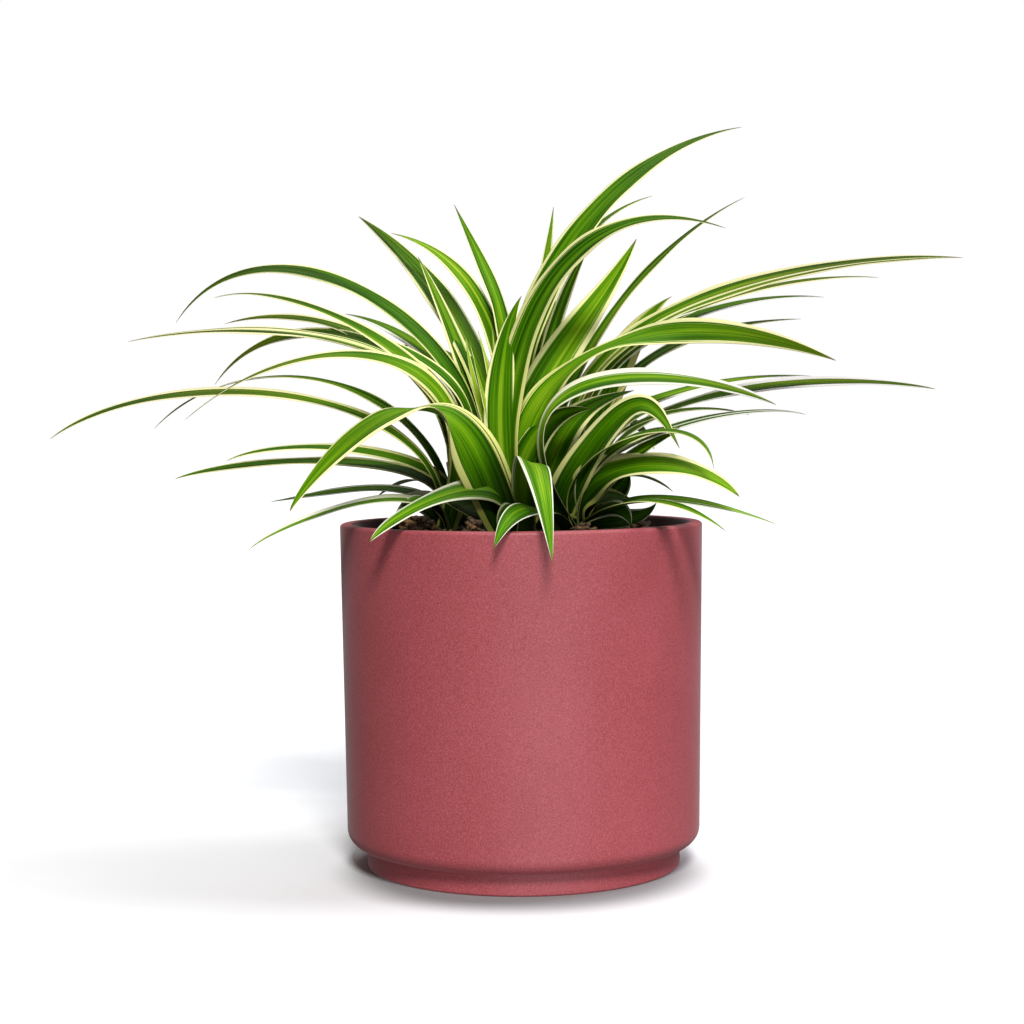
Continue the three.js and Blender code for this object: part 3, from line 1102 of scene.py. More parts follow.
@dataclass
class Pot:
    """The glazed pot, turned from its profile."""

    height: float = 147 * MM
    rim_radius: float = 77.5 * MM
    base_radius: float = 75.8 * MM
    wall: float = 6 * MM
    lip: float = 1.5 * MM
    foot_radius: float = 67.3 * MM
    foot_height: float = 9.5 * MM
    foot_edge: float = 1.2 * MM
    foot_fillet: float = 0.6 * MM
    corner: float = 7 * MM
    floor_top: float = 15 * MM
    floor_corner: float = 4 * MM
    inner_taper: float = 2 * MM
    inner_depth: float = 114 * MM
    wall_steps: int = 24
    inner_steps: int = 8
    segments: int = 192

    def profile(self) -> list[tuple[float, float]]:
        """Draw the profile from the axis below to the axis inside.

        Returns:
            The profile's points, as (radius, height).
        """
        inner = self.rim_radius - self.wall
        corner_r, corner_z = self.base_radius - self.corner, self.foot_height + self.corner
        points = [(0.0, 0.0), (self.foot_radius * 0.5, 0.0)]
        points += self._arc(self.foot_radius - self.foot_edge, self.foot_edge, self.foot_edge, -90, 0, 6)
        fillet = self.foot_fillet
        points += self._arc(self.foot_radius + fillet, self.foot_height - fillet, fillet, 180, 90, 4)
        points += self._arc(corner_r, corner_z, self.corner, -90, 0, 12)
        for i in range(1, self.wall_steps):
            share = i / self.wall_steps
            radius = self.base_radius + (self.rim_radius - self.base_radius) * share
            points.append((radius, corner_z + (self.height - self.lip - corner_z) * share))
        lip = self.lip
        points += self._arc(self.rim_radius - lip, self.height - lip, lip, 0, 90, 8)
        points += self._arc(inner + lip, self.height - lip, lip, 90, 180, 8)
        for i in range(1, self.inner_steps):
            share = i / self.inner_steps
            points.append((inner - self.inner_taper * share, self.height - lip - self.inner_depth * share))
        floor_radius = inner - self.inner_taper - self.floor_corner
        points += [(floor_radius, self.floor_top), (0.0, self.floor_top)]
        return points

    @staticmethod
    def _arc(r: float, z: float, size: float, start: float, stop: float,
             steps: int) -> list[tuple[float, float]]:
        """Draw an arc of the profile.

        Args:
            r: Radius of the arc's centre from the pot's axis.
            z: Height of the arc's centre.
            size: The arc's own radius.
            start: The angle that it starts at, in degrees.
            stop: The angle that it stops at, in degrees.
            steps: The number of its stretches.

        Returns:
            The arc's points, as (radius, height).
        """
        angles = np.radians(np.linspace(start, stop, steps + 1))
        return [(r + size * math.cos(a), z + size * math.sin(a)) for a in angles]

    def build(self, material: bpy.types.Material) -> None:
        """Turn the profile and dress it.

        Args:
            material: The glaze.
        """
        profile = self.profile()
        shell = bmesh.new()
        line = [shell.verts.new((r, 0.0, z)) for r, z in profile]
        edges = [shell.edges.new(pair) for pair in zip(line, line[1:])]
        bmesh.ops.spin(
            shell, geom=line + edges, cent=(0, 0, 0), axis=(0, 0, 1),
            angle=2 * math.pi, steps=self.segments, use_merge=True,
        )
        bmesh.ops.remove_doubles(shell, verts=shell.verts, dist=1e-6)
        mesh = bpy.data.meshes.new("pot_body")
        shell.to_mesh(mesh)
        shell.free()
        face_outwards(mesh)
        piece = new_object("pot_body", mesh)
        mesh.materials.append(material)
        settle(piece, "glaze", "pot")


class Lump(Enum):
    """The kinds of lumps that lie on the soil."""

    CRUMB = "round crumb"
    CHIP = "flat chip"


@dataclass
class SoilBed:
    """The soil's uneven top with crumbs and bark chips on it.

    `crumbs` and `chips` count the lumps to the square metre, and each stretch gives the least
    and the greatest scale of a lump in its three directions.
    """

    top: float = 141 * MM
    radius: float = 69.3 * MM
    depth: float = 12 * MM
    rings: int = 40
    segments: int = 96
    relief: float = 0.8 * MM
    lobes: tuple[int, int] = (3, 5)
    lobe_rings: tuple[float, float] = (9.0, 6.0)
    lobe_turn: float = 1.3
    fine_relief: float = 0.35 * MM
    fine_waves: tuple[float, float, float, float] = (900.0, 1100.0, 1900.0, 1500.0)
    calm_edge: float = 12 * MM
    bare_edge: float = 2.5 * MM
    crumbs: float = 120000.0
    crumb_size: float = 1.3 * MM
    crumb_stretch: tuple[Triple, Triple] = ((0.5, 0.5, 0.4), (1.2, 1.0, 0.8))
    chips: float = 6000.0
    chip_size: float = 3.4 * MM
    chip_stretch: tuple[Triple, Triple] = ((0.7, 0.35, 0.15), (1.6, 0.8, 0.35))
    least_size: float = 0.45
    tilt: float = 0.5
    places_seed: int = 7
    crumb_seed: int = 11
    chip_seed: int = 12
    turn_seed: int = 13
    size_seed: int = 14
    shade_seed: int = 15

    def _height(self, x: float, y: float) -> float:
        """Work out the height of the soil, which is calm along the pot's wall.

        Args:
            x: Place to the right.
            y: Place to the back.

        Returns:
            The height.
        """
        spread = math.hypot(x, y)
        angle = math.atan2(y, x)
        low = math.sin(self.lobes[0] * angle + spread / MM / self.lobe_rings[0])
        low += math.sin(self.lobes[1] * angle - spread / MM / self.lobe_rings[1] + self.lobe_turn)
        calm = min(1.0, (self.radius - spread) / self.calm_edge)
        waves = self.fine_waves
        fine = math.sin(x * waves[0]) * math.cos(y * waves[1])
        fine += math.sin(x * waves[2] + y * waves[3])
        return self.top + (self.relief * low + self.fine_relief * fine) * calm

    def _bed(self) -> bpy.types.Mesh:
        """Make the closed bed.

        Returns:
            The uneven top, the side and the underside, in one mesh.
        """
        points = [(0.0, 0.0, self._height(0.0, 0.0))]
        for ring in range(1, self.rings + 1):
            for i in range(self.segments):
                angle = 2 * math.pi * i / self.segments
                r = self.radius * ring / self.rings
                x, y = r * math.cos(angle), r * math.sin(angle)
                points.append((x, y, self._height(x, y)))
        last = 1 + (self.rings - 1) * self.segments
        base = len(points)
        points += [(p[0], p[1], self.top - self.depth) for p in points[last:]]
        points.append((0.0, 0.0, self.top - self.depth))
        faces = []
        for i in range(self.segments):
            j = (i + 1) % self.segments
            faces.append((0, 1 + i, 1 + j))
            for ring in range(self.rings - 1):
                a, b = 1 + ring * self.segments, 1 + (ring + 1) * self.segments
                faces.append((a + i, b + i, b + j, a + j))
            faces.append((last + i, base + i, base + j, last + j))
            faces.append((base + i, len(points) - 1, base + j))
        return mesh_of("soil_bed", points, faces)

    def _scatter(self, name: str, lump: Lump) -> GeometryTree:
        """Build a tree that scatters lumps over the upward faces.

        Args:
            name: The tree's name.
            lump: The kind of lump.

        Returns:
            The tree.
        """
        make = GeometryTree(name)
        density = make.given("Density")
        size = make.given("Size")
        material = make.given("Material", "NodeSocketMaterial")
        normal = make.node(
            "ShaderNodeSeparateXYZ", None, {0: make.node("GeometryNodeInputNormal")}, output=2
        )
        spread = make.node("GeometryNodeInputPosition")
        from_axis = make.node(
            "ShaderNodeVectorMath", {"operation": "LENGTH"},
            {0: make.vector("MULTIPLY", spread, (1.0, 1.0, 0.0))}, output=1,
        )
        inside = make.math("LESS_THAN", from_axis, self.radius - self.bare_edge)
        upward = make.math("GREATER_THAN", normal, 0.5) * inside
        points = make.node(
            "GeometryNodeDistributePointsOnFaces",
            {"distribute_method": "RANDOM"},
            {
                "Mesh": Term(make, make.start.outputs[0]), "Selection": upward,
                "Density": density, "Seed": self.places_seed,
            },
        )
        if lump is Lump.CRUMB:
            grain = make.node("GeometryNodeMeshIcoSphere", None, {"Radius": 1.0, "Subdivisions": 2})
            stretch = make.random_vector(*self.crumb_stretch, self.crumb_seed)
        else:
            grain = make.node(
                "GeometryNodeMeshCube", None,
                {"Size": (2.0, 2.0, 2.0), "Vertices X": 4, "Vertices Y": 4, "Vertices Z": 3},
            )
            stretch = make.random_vector(*self.chip_stretch, self.chip_seed)
        wobble = make.node("ShaderNodeTexNoise", None, {"Scale": 1.3, "Detail": 2.0}, output="Color")
        grain = make.node(
            "GeometryNodeSetPosition", None,
            {"Geometry": grain, "Offset": make.vector("SUBTRACT", wobble, (0.5, 0.5, 0.5))},
        )
        tilt = self.tilt
        turn = make.random_vector((-tilt, -tilt, 0.0), (tilt, tilt, FULL_TURN), self.turn_seed)
        scale = make.scaled(stretch, size * make.random(self.least_size, 1.0, self.size_seed))
        instances = make.node(
            "GeometryNodeInstanceOnPoints", None,
            {"Points": points, "Instance": grain, "Rotation": turn, "Scale": scale},
        )
        shade = make.random(0.0, 1.0, self.shade_seed)
        instances = make.store(instances, "shade", shade, domain="INSTANCE")
        make.close(instances, material)
        return make

    def build(self, soil: bpy.types.Material, bark: bpy.types.Material) -> None:
        """Build the bed, its crumbs and its chips.

        Args:
            soil: The soil's material.
            bark: The bark's material.
        """
        bed = new_object("soil_bed", self._bed())
        face_outwards(bed.data)
        bed.data.materials.append(soil)
        for name, lump, density, size, material in (
            ("soil_crumbs", Lump.CRUMB, self.crumbs, self.crumb_size, soil),
            ("bark_chips", Lump.CHIP, self.chips, self.chip_size, bark),
        ):
            tree = self._scatter(name, lump)
            piece = tree.run(
                new_object(name, bed.data.copy()),
                {"Density": density, "Size": size, "Material": material},
            )
            face_outwards(piece.data)
            settle(piece, "soil")
        settle(bed, "soil", "soil")


@dataclass(frozen=True)
class BarkHeap:
    """A heap of bark, fibres and dry sheaths on the soil.

    `at` is its middle and `spread` its half widths, `top` and `foot` are the heights of its
    crest and its foot, `chip` gives the half sizes of a chip, and `reach` keeps the chips off
    the pot's wall, all in millimetres.
    """

    name: str
    at: tuple[float, float]
    spread: tuple[float, float]
    top: float
    count: int
    chip: Triple
    seed: int
    foot: float = 141.0
    reach: float = 64.0
    tilt: tuple[float, float] = (0.5, 0.6)
    least_level: float = 0.4
    least_size: float = 0.45

    @staticmethod
    def tree(roughness: float = 1.5, shade_seed: int = 21) -> GeometryTree:
        """Build the tree that lays one rough chip at each point.

        Args:
            roughness: How far noise pushes the chip's points, in half widths.
            shade_seed: Seed of the chips' shades.

        Returns:
            The tree.
        """
        make = GeometryTree("bark_heap")
        material = make.given("Material", "NodeSocketMaterial")
        chip = make.node(
            "GeometryNodeMeshCube", None,
            {"Size": (2.0, 2.0, 2.0), "Vertices X": 5, "Vertices Y": 3, "Vertices Z": 3},
        )
        rough = make.node("ShaderNodeTexNoise", None, {"Scale": 1.1, "Detail": 2.0}, output="Color")
        offset = make.scaled(make.vector("SUBTRACT", rough, (0.5, 0.5, 0.5)), roughness)
        chip = make.node("GeometryNodeSetPosition", None, {"Geometry": chip, "Offset": offset})
        laid = make.node(
            "GeometryNodeInstanceOnPoints", None,
            {
                "Points": Term(make, make.start.outputs["Geometry"]), "Instance": chip,
                "Rotation": make.read("turn", "FLOAT_VECTOR"), "Scale": make.read("size", "FLOAT_VECTOR"),
            },
        )
        shade = make.random(0.0, 1.0, shade_seed)
        laid = make.store(laid, "shade", shade, domain="INSTANCE")
        make.close(laid, material)
        return make

    def build(self, tree: GeometryTree, material: bpy.types.Material) -> None:
        """Heap the chips up.

        Args:
            tree: The tree that lays a chip at each point.
            material: The bark.
        """
        draw = np.random.default_rng(self.seed)
        offset = np.clip(draw.normal(0.0, 0.5, (self.count, 2)), -1.0, 1.0)
        crest = np.maximum(0.0, 1.0 - (offset**2).sum(axis=1))
        level = self.foot + (self.top - self.foot) * crest * draw.uniform(self.least_level, 1.0, self.count)
        ground = np.array(self.at) + offset * self.spread
        ground *= np.minimum(1.0, self.reach / np.linalg.norm(ground, axis=1))[:, None]
        spots = np.column_stack((ground, level)) * MM
        size = np.array(self.chip) * draw.uniform(self.least_size, 1.0, (self.count, 1)) * MM
        least = (-self.tilt[0], -self.tilt[1], 0.0)
        turn = draw.uniform(least, (*self.tilt, FULL_TURN), (self.count, 3))
        mesh = mesh_of(self.name, spots, [])
        for key, value in (("size", size), ("turn", turn)):
            data = value.astype(np.float32).ravel()
            mesh.attributes.new(key, "FLOAT_VECTOR", "POINT").data.foreach_set("vector", data)
        piece = tree.run(new_object(self.name, mesh), {"Material": material})
        for key in ("size", "turn"):
            if key in piece.data.attributes:
                piece.data.attributes.remove(piece.data.attributes[key])
        face_outwards(piece.data)
        settle(piece, "soil")


HEAPS = (
    BarkHeap("bark_left", (-44, -40), (17, 11), 151.5, 150, (4.2, 1.3, 0.9), 3),
    BarkHeap("bark_middle", (-20, -54), (6, 5), 150.5, 40, (3.2, 1.4, 1.0), 8),
    BarkHeap("bark_right", (24, -50), (9, 6), 149.0, 24, (3.4, 1.1, 0.6), 12),
    BarkHeap("bark_corner", (50, -34), (9, 8), 147.5, 40, (3.6, 1.3, 0.8), 16),
)


CROWNS = (
    Crown("crown_left", (-30, 0), (
        Blade(-156, 9.5, ((-11, 207), (121, 218), (165, 185)), (45, 28, 30),
              Tone.MID, Tone.DARK, (0.18, 0.5)),
        Blade(-174, 13, ((-37, 232), (77, 236), (130, 225)), (30, 20, 20),
              Tone.DARK, Tone.DARK, (0.28, 0.24), inner=(-0.3, 0.14)),
        Blade(-152, 13, ((-50, 195), (58, 254), (100, 241)), (75, 45, 5),
              Tone.MID, Tone.DARK, (0.28, 0.4)),
        Blade(168, 10, ((-36, 202), (2, 218), (41, 232)), (0, 15, 30),
              Tone.DARK, Tone.DARK, (0.28, 0.38)),
    )),
    Crown("crown_back_left", (-26, 25), (
        Blade(166, 10, ((0, 211), (96, 231), (140, 188)), (10, 10, 0), Tone.MID, Tone.DARK, (0.18, 0.14)),
        Blade(154, 10, ((-29, 217), (81, 260), (124, 208)), (0, 28, 60),
              Tone.MID, Tone.DARK, (0.2, 0.28)),
        Blade(176, 12, ((-52, 208), (76, 302), (121, 235)), (25, 30, 36),
              Tone.DARK, Tone.DARK, (0.12, 0.22)),
        Blade(148, 12, ((-18, 219), (71, 249), (128, 237)), (-5, 10, 35),
              Tone.DARK, Tone.DARK, (0.2, 0.53)),
        Blade(140, 13, ((-34, 200), (21, 233), (65, 240)), (-15, 0, 25),
              Tone.MID, Tone.DARK, (0.33, 0.38), edge=Edge.WHITE),
        Blade(-170, 11, ((-17, 179), (73, 186), (97, 174)), (35, 25, 15),
              Tone.DARK, Tone.SHADE, (0.22, 0.5)),
        Blade(170, 11, ((-12, 183), (104, 174), (127, 165)), (25, 20, 30),
              Tone.DARK, Tone.SHADE, (0.18, 0.43)),
        Blade(158, 9, ((10, 171), (65, 157), (90, 154)), (20, 20, 25),
              Tone.DARK, Tone.SHADE, (0.28, 0.53), edge=Edge.WHITE),
        Blade(95, 12, ((-4, 200), (78, 220), (126, 186)), (0, 10, 0), Tone.DARK, Tone.DARK, (0.28, 0.28)),
        Blade(88, 14, ((0, 184), (58, 202), (100, 172)), (0, -10, 0), Tone.DARK, Tone.DARK, (0.23, 0.28)),
        Blade(124, 10, ((6, 170), (44, 166), (70, 154)), (0, 0, 10), Tone.DARK, Tone.SHADE, (0.28, 0.23)),
        Blade(94, 11, ((4, 178), (48, 180), (90, 150)), (0, 5, 0), Tone.DARK, Tone.SHADE, (0.33, 0.23)),
    )),
    Crown("crown_front_left", (-28, -20), (
        Blade(-148, 14, ((-34, 230), (65, 233), (115, 192)), (90, 36, -15),
              Tone.MID, Tone.DARK, (0.3, 0.34), taper=0.85),
        Blade(-152, 10, ((2, 173), (73, 151), (86, 140)), (25, 15, 0),
              Tone.MID, Tone.DARK, (0.18, 0.8), edge=Edge.WHITE),
        Blade(-142, 13, ((4, 164), (16, 160), (27, 148)), (20, 10, 0),
              Tone.DARK, Tone.SHADE, (0.28, 0.38), edge=Edge.WHITE),
        Blade(160, 12, ((-2, 156), (10, 158), (20, 158)), (60, 60, 60),
              Tone.DARK, Tone.SHADE, (0.18, 0.5), edge=Edge.WHITE),
    )),
    Crown("crown_front", (0, -28), (
        Blade(-150, 25, ((19, 168), (18, 244), (91, 171), (99, 156)), (90, 90, 88, 60, -4, 14, 24, 24, 24),
              Tone.MID, Tone.SHADE, (0.28, 0.18), wave=0.08, taper=0.9),
        Blade(-145, 12, ((-5, 178), (57, 156), (68, 143)), (85, 30, 20),
              Tone.MID, Tone.SHADE, (0.22, 0.36), edge=Edge.WHITE, wave=0.1),
        Blade(-80, 13, ((-2, 190), (38, 178), (61, 136)), (-26, -15, -4),
              Tone.MID, Tone.DARK, (0.18, 0.16), edge=Edge.WHITE, wave=0.08),
        Blade(-122, 7, ((-6, 158), (10, 156), (13, 147)), (50, 50, 40),
              Tone.DARK, Tone.SHADE, (0.28, 0.33), edge=Edge.WHITE),
        Blade(-172, 13, ((9, 154), (19, 158), (29, 159)), (60, 60, 60),
              Tone.SHADE, Tone.SHADE, (0.14, 0.2)),
    )),
    Crown("crown_centre", (-6, 1), (
        Blade(42, 14, ((-12, 167), (-14, 220), (4, 244)), (65, 45, 10),
              Tone.DARK, Tone.BRIGHT, (0.2, 0.2), glow=0.45),
        Blade(-36, 17, ((-20, 215), (23, 294), (103, 266)), (90, 70, 10),
              Tone.DARK, Tone.MID, (0.32, 0.22)),
        Blade(18, 18, ((-11, 198), (32, 228), (55, 269)), (55, 58, 45),
              Tone.MID, Tone.BRIGHT, (0.21, 0.3), glow=0.2),
        Blade(-15, 17, ((-10, 228), (72, 242), (135, 214)), (85, 85, 75, 32, 16, 48, 62, 70, 75),
              Tone.MID, Tone.DARK, (0.32, 0.21)),
        Blade(-25, 17, ((-2, 168), (8, 195), (34, 195)), (80, 75, 50),
              Tone.DARK, Tone.SHADE, (0.18, 0.11), wave=0.14),
        Blade(14, 16, ((21, 178), (12, 194), (52, 203)), (60, 55, 45),
              Tone.DARK, Tone.SHADE, (0.28, 0.22)),
        Blade(176, 3, ((-2, 170), (4, 200), (10, 225)), (0, 0, 0), Tone.YOUNG, Tone.YOUNG, (0.28, 0.28)),
        Blade(160, 3.5, ((-4, 172), (-1, 205), (7, 229)), (40, 40, 40),
              Tone.YOUNG, Tone.YOUNG, (0.28, 0.28)),
        Blade(120, 3, ((-2, 170), (2, 205), (6, 231)), (60, 60, 60),
              Tone.YOUNG, Tone.YOUNG, (0.28, 0.28)),
        Blade(-176, 3, ((-3, 172), (7, 200), (15, 221)), (20, 20, 20),
              Tone.YOUNG, Tone.YOUNG, (0.18, 0.18)),
        Blade(-160, 3, ((-4, 170), (4, 198), (9, 217)), (70, 70, 70),
              Tone.YOUNG, Tone.YOUNG, (0.18, 0.18)),
        Blade(168, 3, ((-4, 174), (10, 206), (12, 227)), (80, 80, 80),
              Tone.YOUNG, Tone.YOUNG, (0.18, 0.18)),
    )),
    Crown("crown_back", (-1, 28), (
        Blade(148, 10, ((-1, 186), (33, 205), (50, 237)), (5, 10, 20),
              Tone.BRIGHT, Tone.BRIGHT, (0.24, 0.22), edge=Edge.WHITE),
        Blade(138, 17, ((6, 213), (38, 254), (94, 287)), (5, 10, 35), Tone.DARK, Tone.DARK, (0.2, 0.16)),
        Blade(148, 12, ((9, 187), (25, 227), (47, 265)), (5, 20, 15), Tone.MID, Tone.MID, (0.28, 0.33)),
        Blade(150, 14, ((-6, 197), (0, 262), (60, 276)), (-10, 10, 25),
              Tone.MID, Tone.BRIGHT, (0.2, 0.26), glow=0.35),
        Blade(136, 12, ((5, 245), (-8, 224), (33, 288)), (-20, -10, 35),
              Tone.MID, Tone.BRIGHT, (0.16, 0.14), glow=0.3),
        Blade(22, 17, ((-26, 223), (28, 309), (107, 324)), (20, 28, 20),
              Tone.DARK, Tone.DARK, (0.2, 0.13)),
        Blade(60, 9, ((-12, 195), (19, 239), (29, 287)), (90, 90, 15), Tone.MID, Tone.MID, (0.2, 0.43)),
        Blade(44, 9, ((-1, 222), (14, 277), (84, 295)), (-20, -15, 20),
              Tone.MID, Tone.DARK, (0.38, 0.28)),
        Blade(30, 10, ((13, 210), (58, 267), (119, 294)), (0, 0, 5), Tone.DARK, Tone.DARK, (0.22, 0.18)),
        Blade(48, 12, ((-2, 186), (15, 238), (45, 270)), (90, 90, 90), Tone.DARK, Tone.DARK, (0.23, 0.3)),
        Blade(75, 12, ((-7, 192), (42, 219), (68, 252)), (90, 90, 45),
              Tone.DARK, Tone.DARK, (0.23, 0.23)),
        Blade(92, 15, ((-4, 212), (58, 242), (118, 204)), (0, 10, 0), Tone.MID, Tone.DARK, (0.28, 0.28)),
        Blade(108, 12, ((0, 193), (50, 214), (100, 178)), (0, -10, 0),
              Tone.DARK, Tone.DARK, (0.23, 0.33)),
        Blade(76, 12, ((6, 176), (58, 180), (102, 154)), (0, 10, 10),
              Tone.DARK, Tone.SHADE, (0.28, 0.23)),
        Blade(124, 13, ((2, 200), (56, 240), (112, 222)), (0, 0, 0), Tone.MID, Tone.DARK, (0.23, 0.23)),
    )),
    Crown("crown_back_right", (26, 26), (
        Blade(18, 17, ((-11, 167), (12, 230), (39, 245)), (90, 90, 20),
              Tone.DARK, Tone.DARK, (0.38, 0.43), edge=Edge.OLIVE),
        Blade(-10, 14, ((-48, 238), (97, 262), (160, 258)), (30, 35, 30),
              Tone.MID, Tone.DARK, (0.38, 0.22), inner=(-0.34, 0.1)),
        Blade(14, 11, ((-37, 225), (78, 257), (137, 254)), (-5, 5, 25),
              Tone.DARK, Tone.DARK, (0.28, 0.43)),
        Blade(6, 12, ((-30, 217), (51, 248), (105, 244)), (30, 25, 20),
              Tone.DARK, Tone.DARK, (0.38, 0.2), edge=Edge.WHITE),
        Blade(24, 9, ((-13, 217), (56, 234), (109, 236)), (5, 15, 25),
              Tone.DARK, Tone.DARK, (0.28, 0.28)),
        Blade(-22, 12, ((-8, 207), (107, 211), (151, 202)), (15, 25, 35),
              Tone.MID, Tone.DARK, (0.5, 0.18), edge=Edge.WHITE),
        Blade(80, 14, ((-2, 200), (74, 234), (130, 190)), (0, -10, 0), Tone.MID, Tone.DARK, (0.28, 0.28)),
        Blade(60, 13, ((-4, 196), (40, 202), (70, 176)), (0, 0, 10), Tone.DARK, Tone.DARK, (0.28, 0.23)),
        Blade(84, 12, ((2, 186), (54, 204), (102, 160)), (0, 10, 0), Tone.DARK, Tone.DARK, (0.23, 0.33)),
        Blade(50, 10, ((6, 170), (44, 168), (66, 156)), (10, 0, 10), Tone.DARK, Tone.SHADE, (0.28, 0.28)),
    )),
    Crown("crown_front_right", (20, -20), (
        Blade(-20, 13, ((-57, 220), (45, 215), (83, 196)), (30, 38, 45),
              Tone.MID, Tone.DARK, (0.54, 0.22), edge=Edge.WHITE),
        Blade(-38, 18, ((-33, 144), (26, 198), (29, 215), (50, 179)), (90, 80, 25),
              Tone.DARK, Tone.SHADE, (0.34, 0.2), wave=0.1, glow=0.08, taper=0.75),
        Blade(-40, 18, ((-11, 174), (56, 181), (80, 160)), (90, 45, 20),
              Tone.MID, Tone.SHADE, (0.44, 0.2), wave=0.24),
        Blade(-34, 10, ((18, 166), (65, 157), (91, 149)), (20, 15, 5),
              Tone.MID, Tone.SHADE, (0.26, 0.24), edge=Edge.WHITE, inner=(-0.2, 0.08)),
        Blade(-48, 9, ((25, 162), (57, 161), (83, 147)), (10, 5, 0), Tone.DARK, Tone.SHADE, (0.18, 0.28)),
        Blade(2, 10, ((-23, 197), (61, 210), (97, 208)), (30, 25, 15),
              Tone.MID, Tone.DARK, (0.38, 0.38), edge=Edge.WHITE),
        Blade(12, 7, ((-6, 188), (43, 201), (74, 192)), (-15, 5, 30),
              Tone.DARK, Tone.SHADE, (0.38, 0.28)),
        Blade(-26, 9, ((-11, 181), (70, 199), (98, 192)), (30, 25, 15),
              Tone.DARK, Tone.SHADE, (0.33, 0.33), edge=Edge.WHITE, inner=(0.1, 0.1)),
        Blade(-46, 8, ((-27, 176), (70, 204), (74, 171)), (35, 20, -5),
              Tone.DARK, Tone.SHADE, (0.18, 0.22)),
        Blade(-30, 9, ((-5, 174), (28, 187), (46, 187)), (40, 40, 40),
              Tone.DARK, Tone.SHADE, (0.23, 0.23)),
        Blade(-28, 10, ((8, 165), (28, 181), (44, 185)), (50, 50, 50),
              Tone.DARK, Tone.SHADE, (0.23, 0.18)),
        Blade(20, 10, ((3, 170), (10, 188), (33, 194)), (15, 15, 15),
              Tone.DARK, Tone.SHADE, (0.23, 0.23)),
        Blade(-40, 12, ((6, 151), (23, 160), (27, 147)), (30, 40, 30),
              Tone.DARK, Tone.SHADE, (0.32, 0.22), edge=Edge.WHITE),
        Blade(-15, 11, ((8, 152), (25, 145), (32, 156)), (50, 50, 50),
              Tone.DARK, Tone.SHADE, (0.32, 0.18), edge=Edge.WHITE),
        Blade(5, 11, ((-2, 160), (12, 161), (22, 156)), (40, 40, 40),
              Tone.DARK, Tone.SHADE, (0.38, 0.18), edge=Edge.OLIVE),
        Blade(14, 15, ((-3, 154), (21, 159), (20, 169)), (60, 60, 60),
              Tone.SHADE, Tone.SHADE, (0.16, 0.14)),
        Blade(-112, 13, ((10, 152), (52, 165), (67, 141)), (15, 15, 15),
              Tone.MID, Tone.DARK, (0.18, 0.18), edge=Edge.WHITE, wave=0.08, sway=-4),
    )),
)


@dataclass(frozen=True)
class Sun:
    """A soft distant light.

    `azimuth` is where it stands, in degrees to the right of the camera, and `elevation` its
    height above the floor. `angle` is its apparent size in degrees, which sets how soft its
    shadows are.
    """

    name: str
    azimuth: float
    elevation: float
    angle: float
    power: float
    colour: Colour = (1.0, 1.0, 1.0)

    def build(self) -> None:
        """Add the light to the scene."""
        data = bpy.data.lights.new(self.name, "SUN")
        data.color = self.colour
        data.energy = self.power
        data.angle = math.radians(self.angle)
        made = bpy.data.objects.new(self.name, data)
        turn, rise = math.radians(self.azimuth), math.radians(self.elevation)
        towards = Vector((
            math.sin(turn) * math.cos(rise), -math.cos(turn) * math.cos(rise), math.sin(rise)
        ))
        made.rotation_euler = towards.to_track_quat("Z", "Y").to_euler()
        bpy.context.scene.collection.objects.link(made)


SUNS = (
    Sun("front_light", 6.0, 44.0, 15.0, 2.95),
    Sun("fill_light", 24.0, 8.0, 46.0, 0.62, (0.86, 0.86, 1.0)),
    Sun("right_light", 98.0, 50.0, 24.0, 1.5, (0.9, 0.93, 1.0)),
    Sun("back_light", 180.0, 72.0, 40.0, 0.85),
    Sun("low_light", 10.0, -30.0, 60.0, 0.75),
)


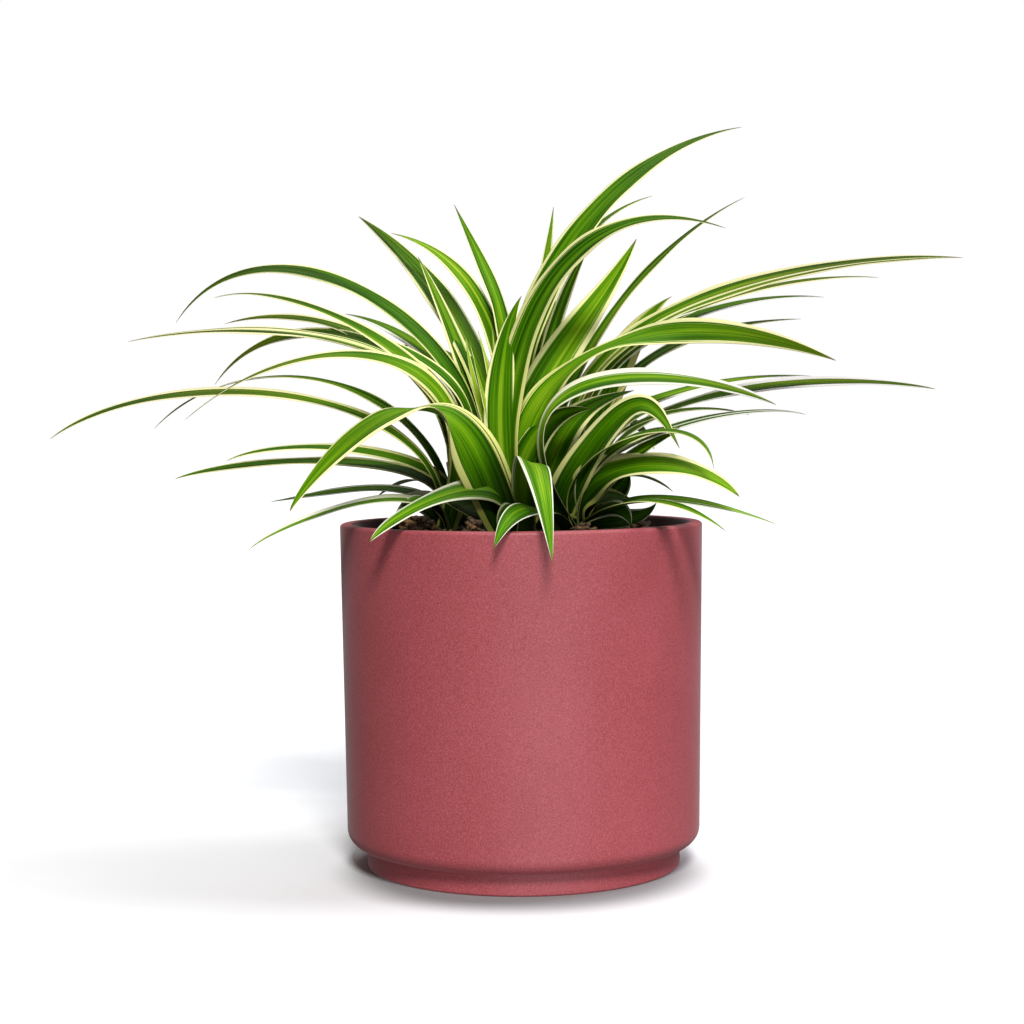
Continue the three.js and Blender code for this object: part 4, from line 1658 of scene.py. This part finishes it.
@dataclass(frozen=True)
class Studio:
    """The camera, the pale floor with a painted contact shadow, and the soft lights."""

    camera_at: Triple = (-0.0038, -0.88, 0.193)
    pitch: float = -2.72
    roll: float = 0.5
    lens: float = 72.14
    sensor: float = 36.0
    floor_colour: Colour = (0.84, 0.84, 0.84)
    floor_tint: Colour = (0.86, 0.86, 0.86)
    floor_reach: float = 8.0
    contact_shadow: Colour = (0.16, 0.15, 0.15)
    contact_shadow_at: Triple = (0.0, -0.018, 0.0)
    contact_shadow_spread: tuple[float, float] = (0.086, 0.058)
    contact_shadow_share: float = 0.8
    ambient: float = 0.15

    def camera(self) -> None:
        """Place the camera at the photograph's viewing angle."""
        data = bpy.data.cameras.new("camera")
        data.lens = self.lens
        data.sensor_width = self.sensor
        data.clip_start = 0.01
        data.clip_end = 100.0
        made = bpy.data.objects.new("camera", data)
        bpy.context.scene.collection.objects.link(made)
        pitch, roll = math.radians(self.pitch), math.radians(self.roll)
        forward = Vector((0.0, math.cos(pitch), math.sin(pitch)))
        right_flat = Vector((1.0, 0.0, 0.0))
        up_flat = right_flat.cross(forward)
        right = right_flat * math.cos(roll) - up_flat * math.sin(roll)
        up = up_flat * math.cos(roll) + right_flat * math.sin(roll)
        turn = Matrix((right, up, -forward)).transposed().to_4x4()
        made.matrix_world = Matrix.Translation(self.camera_at) @ turn
        bpy.context.scene.camera = made

    def floor(self) -> None:
        """Lay the pale floor, with a painted contact shadow around the pot's foot."""
        make = Finish("pale_floor")
        tint = make.noise(make.place(), 3.0)
        colour = make.mix(tint, self.floor_colour, self.floor_tint)
        from_pot = make.node(
            "ShaderNodeVectorMath", {"operation": "DISTANCE"},
            {0: make.place(), 1: self.contact_shadow_at}, output=1,
        )
        # Painted shadow: the floor darkens in a soft disc around the pot's foot.
        in_contact_shadow = make.step(from_pot, *self.contact_shadow_spread)
        colour = make.mix(in_contact_shadow * self.contact_shadow_share, colour, self.contact_shadow)
        material = make.close(Base_Color=colour, Roughness=1.0, Specular_IOR_Level=0.0)
        reach = self.floor_reach
        spots = [(-reach, -reach, 0), (reach, -reach, 0), (reach, reach, 0), (-reach, reach, 0)]
        floor = new_object("floor", mesh_of("floor", spots, [(0, 1, 2, 3)]))
        floor.data.materials.append(material)
        floor.visible_diffuse = False
        floor.visible_glossy = False
        floor.visible_shadow = False

    def light(self) -> None:
        """Add the soft lights, a dim sky that lights the plant and a white one that shows."""
        world = bpy.data.worlds.new("sky")
        world.use_nodes = True
        make = Graph(world.node_tree)
        make.tree.nodes.clear()
        seen = make.node("ShaderNodeLightPath", output="Is Camera Ray")
        strength = self.ambient + seen * (1.0 - self.ambient)
        sky = make.node("ShaderNodeBackground", None, {"Color": (1, 1, 1, 1), "Strength": strength})
        make.node("ShaderNodeOutputWorld", None, {"Surface": sky})
        bpy.context.scene.world = world
        bpy.context.scene.view_settings.view_transform = "Standard"
        for sun in SUNS:
            sun.build()

    def build(self) -> None:
        """Set up the whole studio."""
        self.camera()
        self.floor()
        self.light()


def main() -> None:
    """Build the studio, the pot, the soil and the crowns."""
    logging.basicConfig(level=logging.INFO, format="%(name)s %(message)s")
    Studio().build()
    Pot().build(RoseGlaze().material())
    bark = PineBark().material()
    SoilBed().build(PottingSoil().material(), bark)
    heap_tree = BarkHeap.tree()
    for heap in HEAPS:
        heap.build(heap_tree, bark)
    sweep = BladeSweep()
    blade_finish = BladeFinish().material()
    for number, crown in enumerate(CROWNS):
        crown.build(sweep, blade_finish, number)


if __name__ == "__main__":
    main()
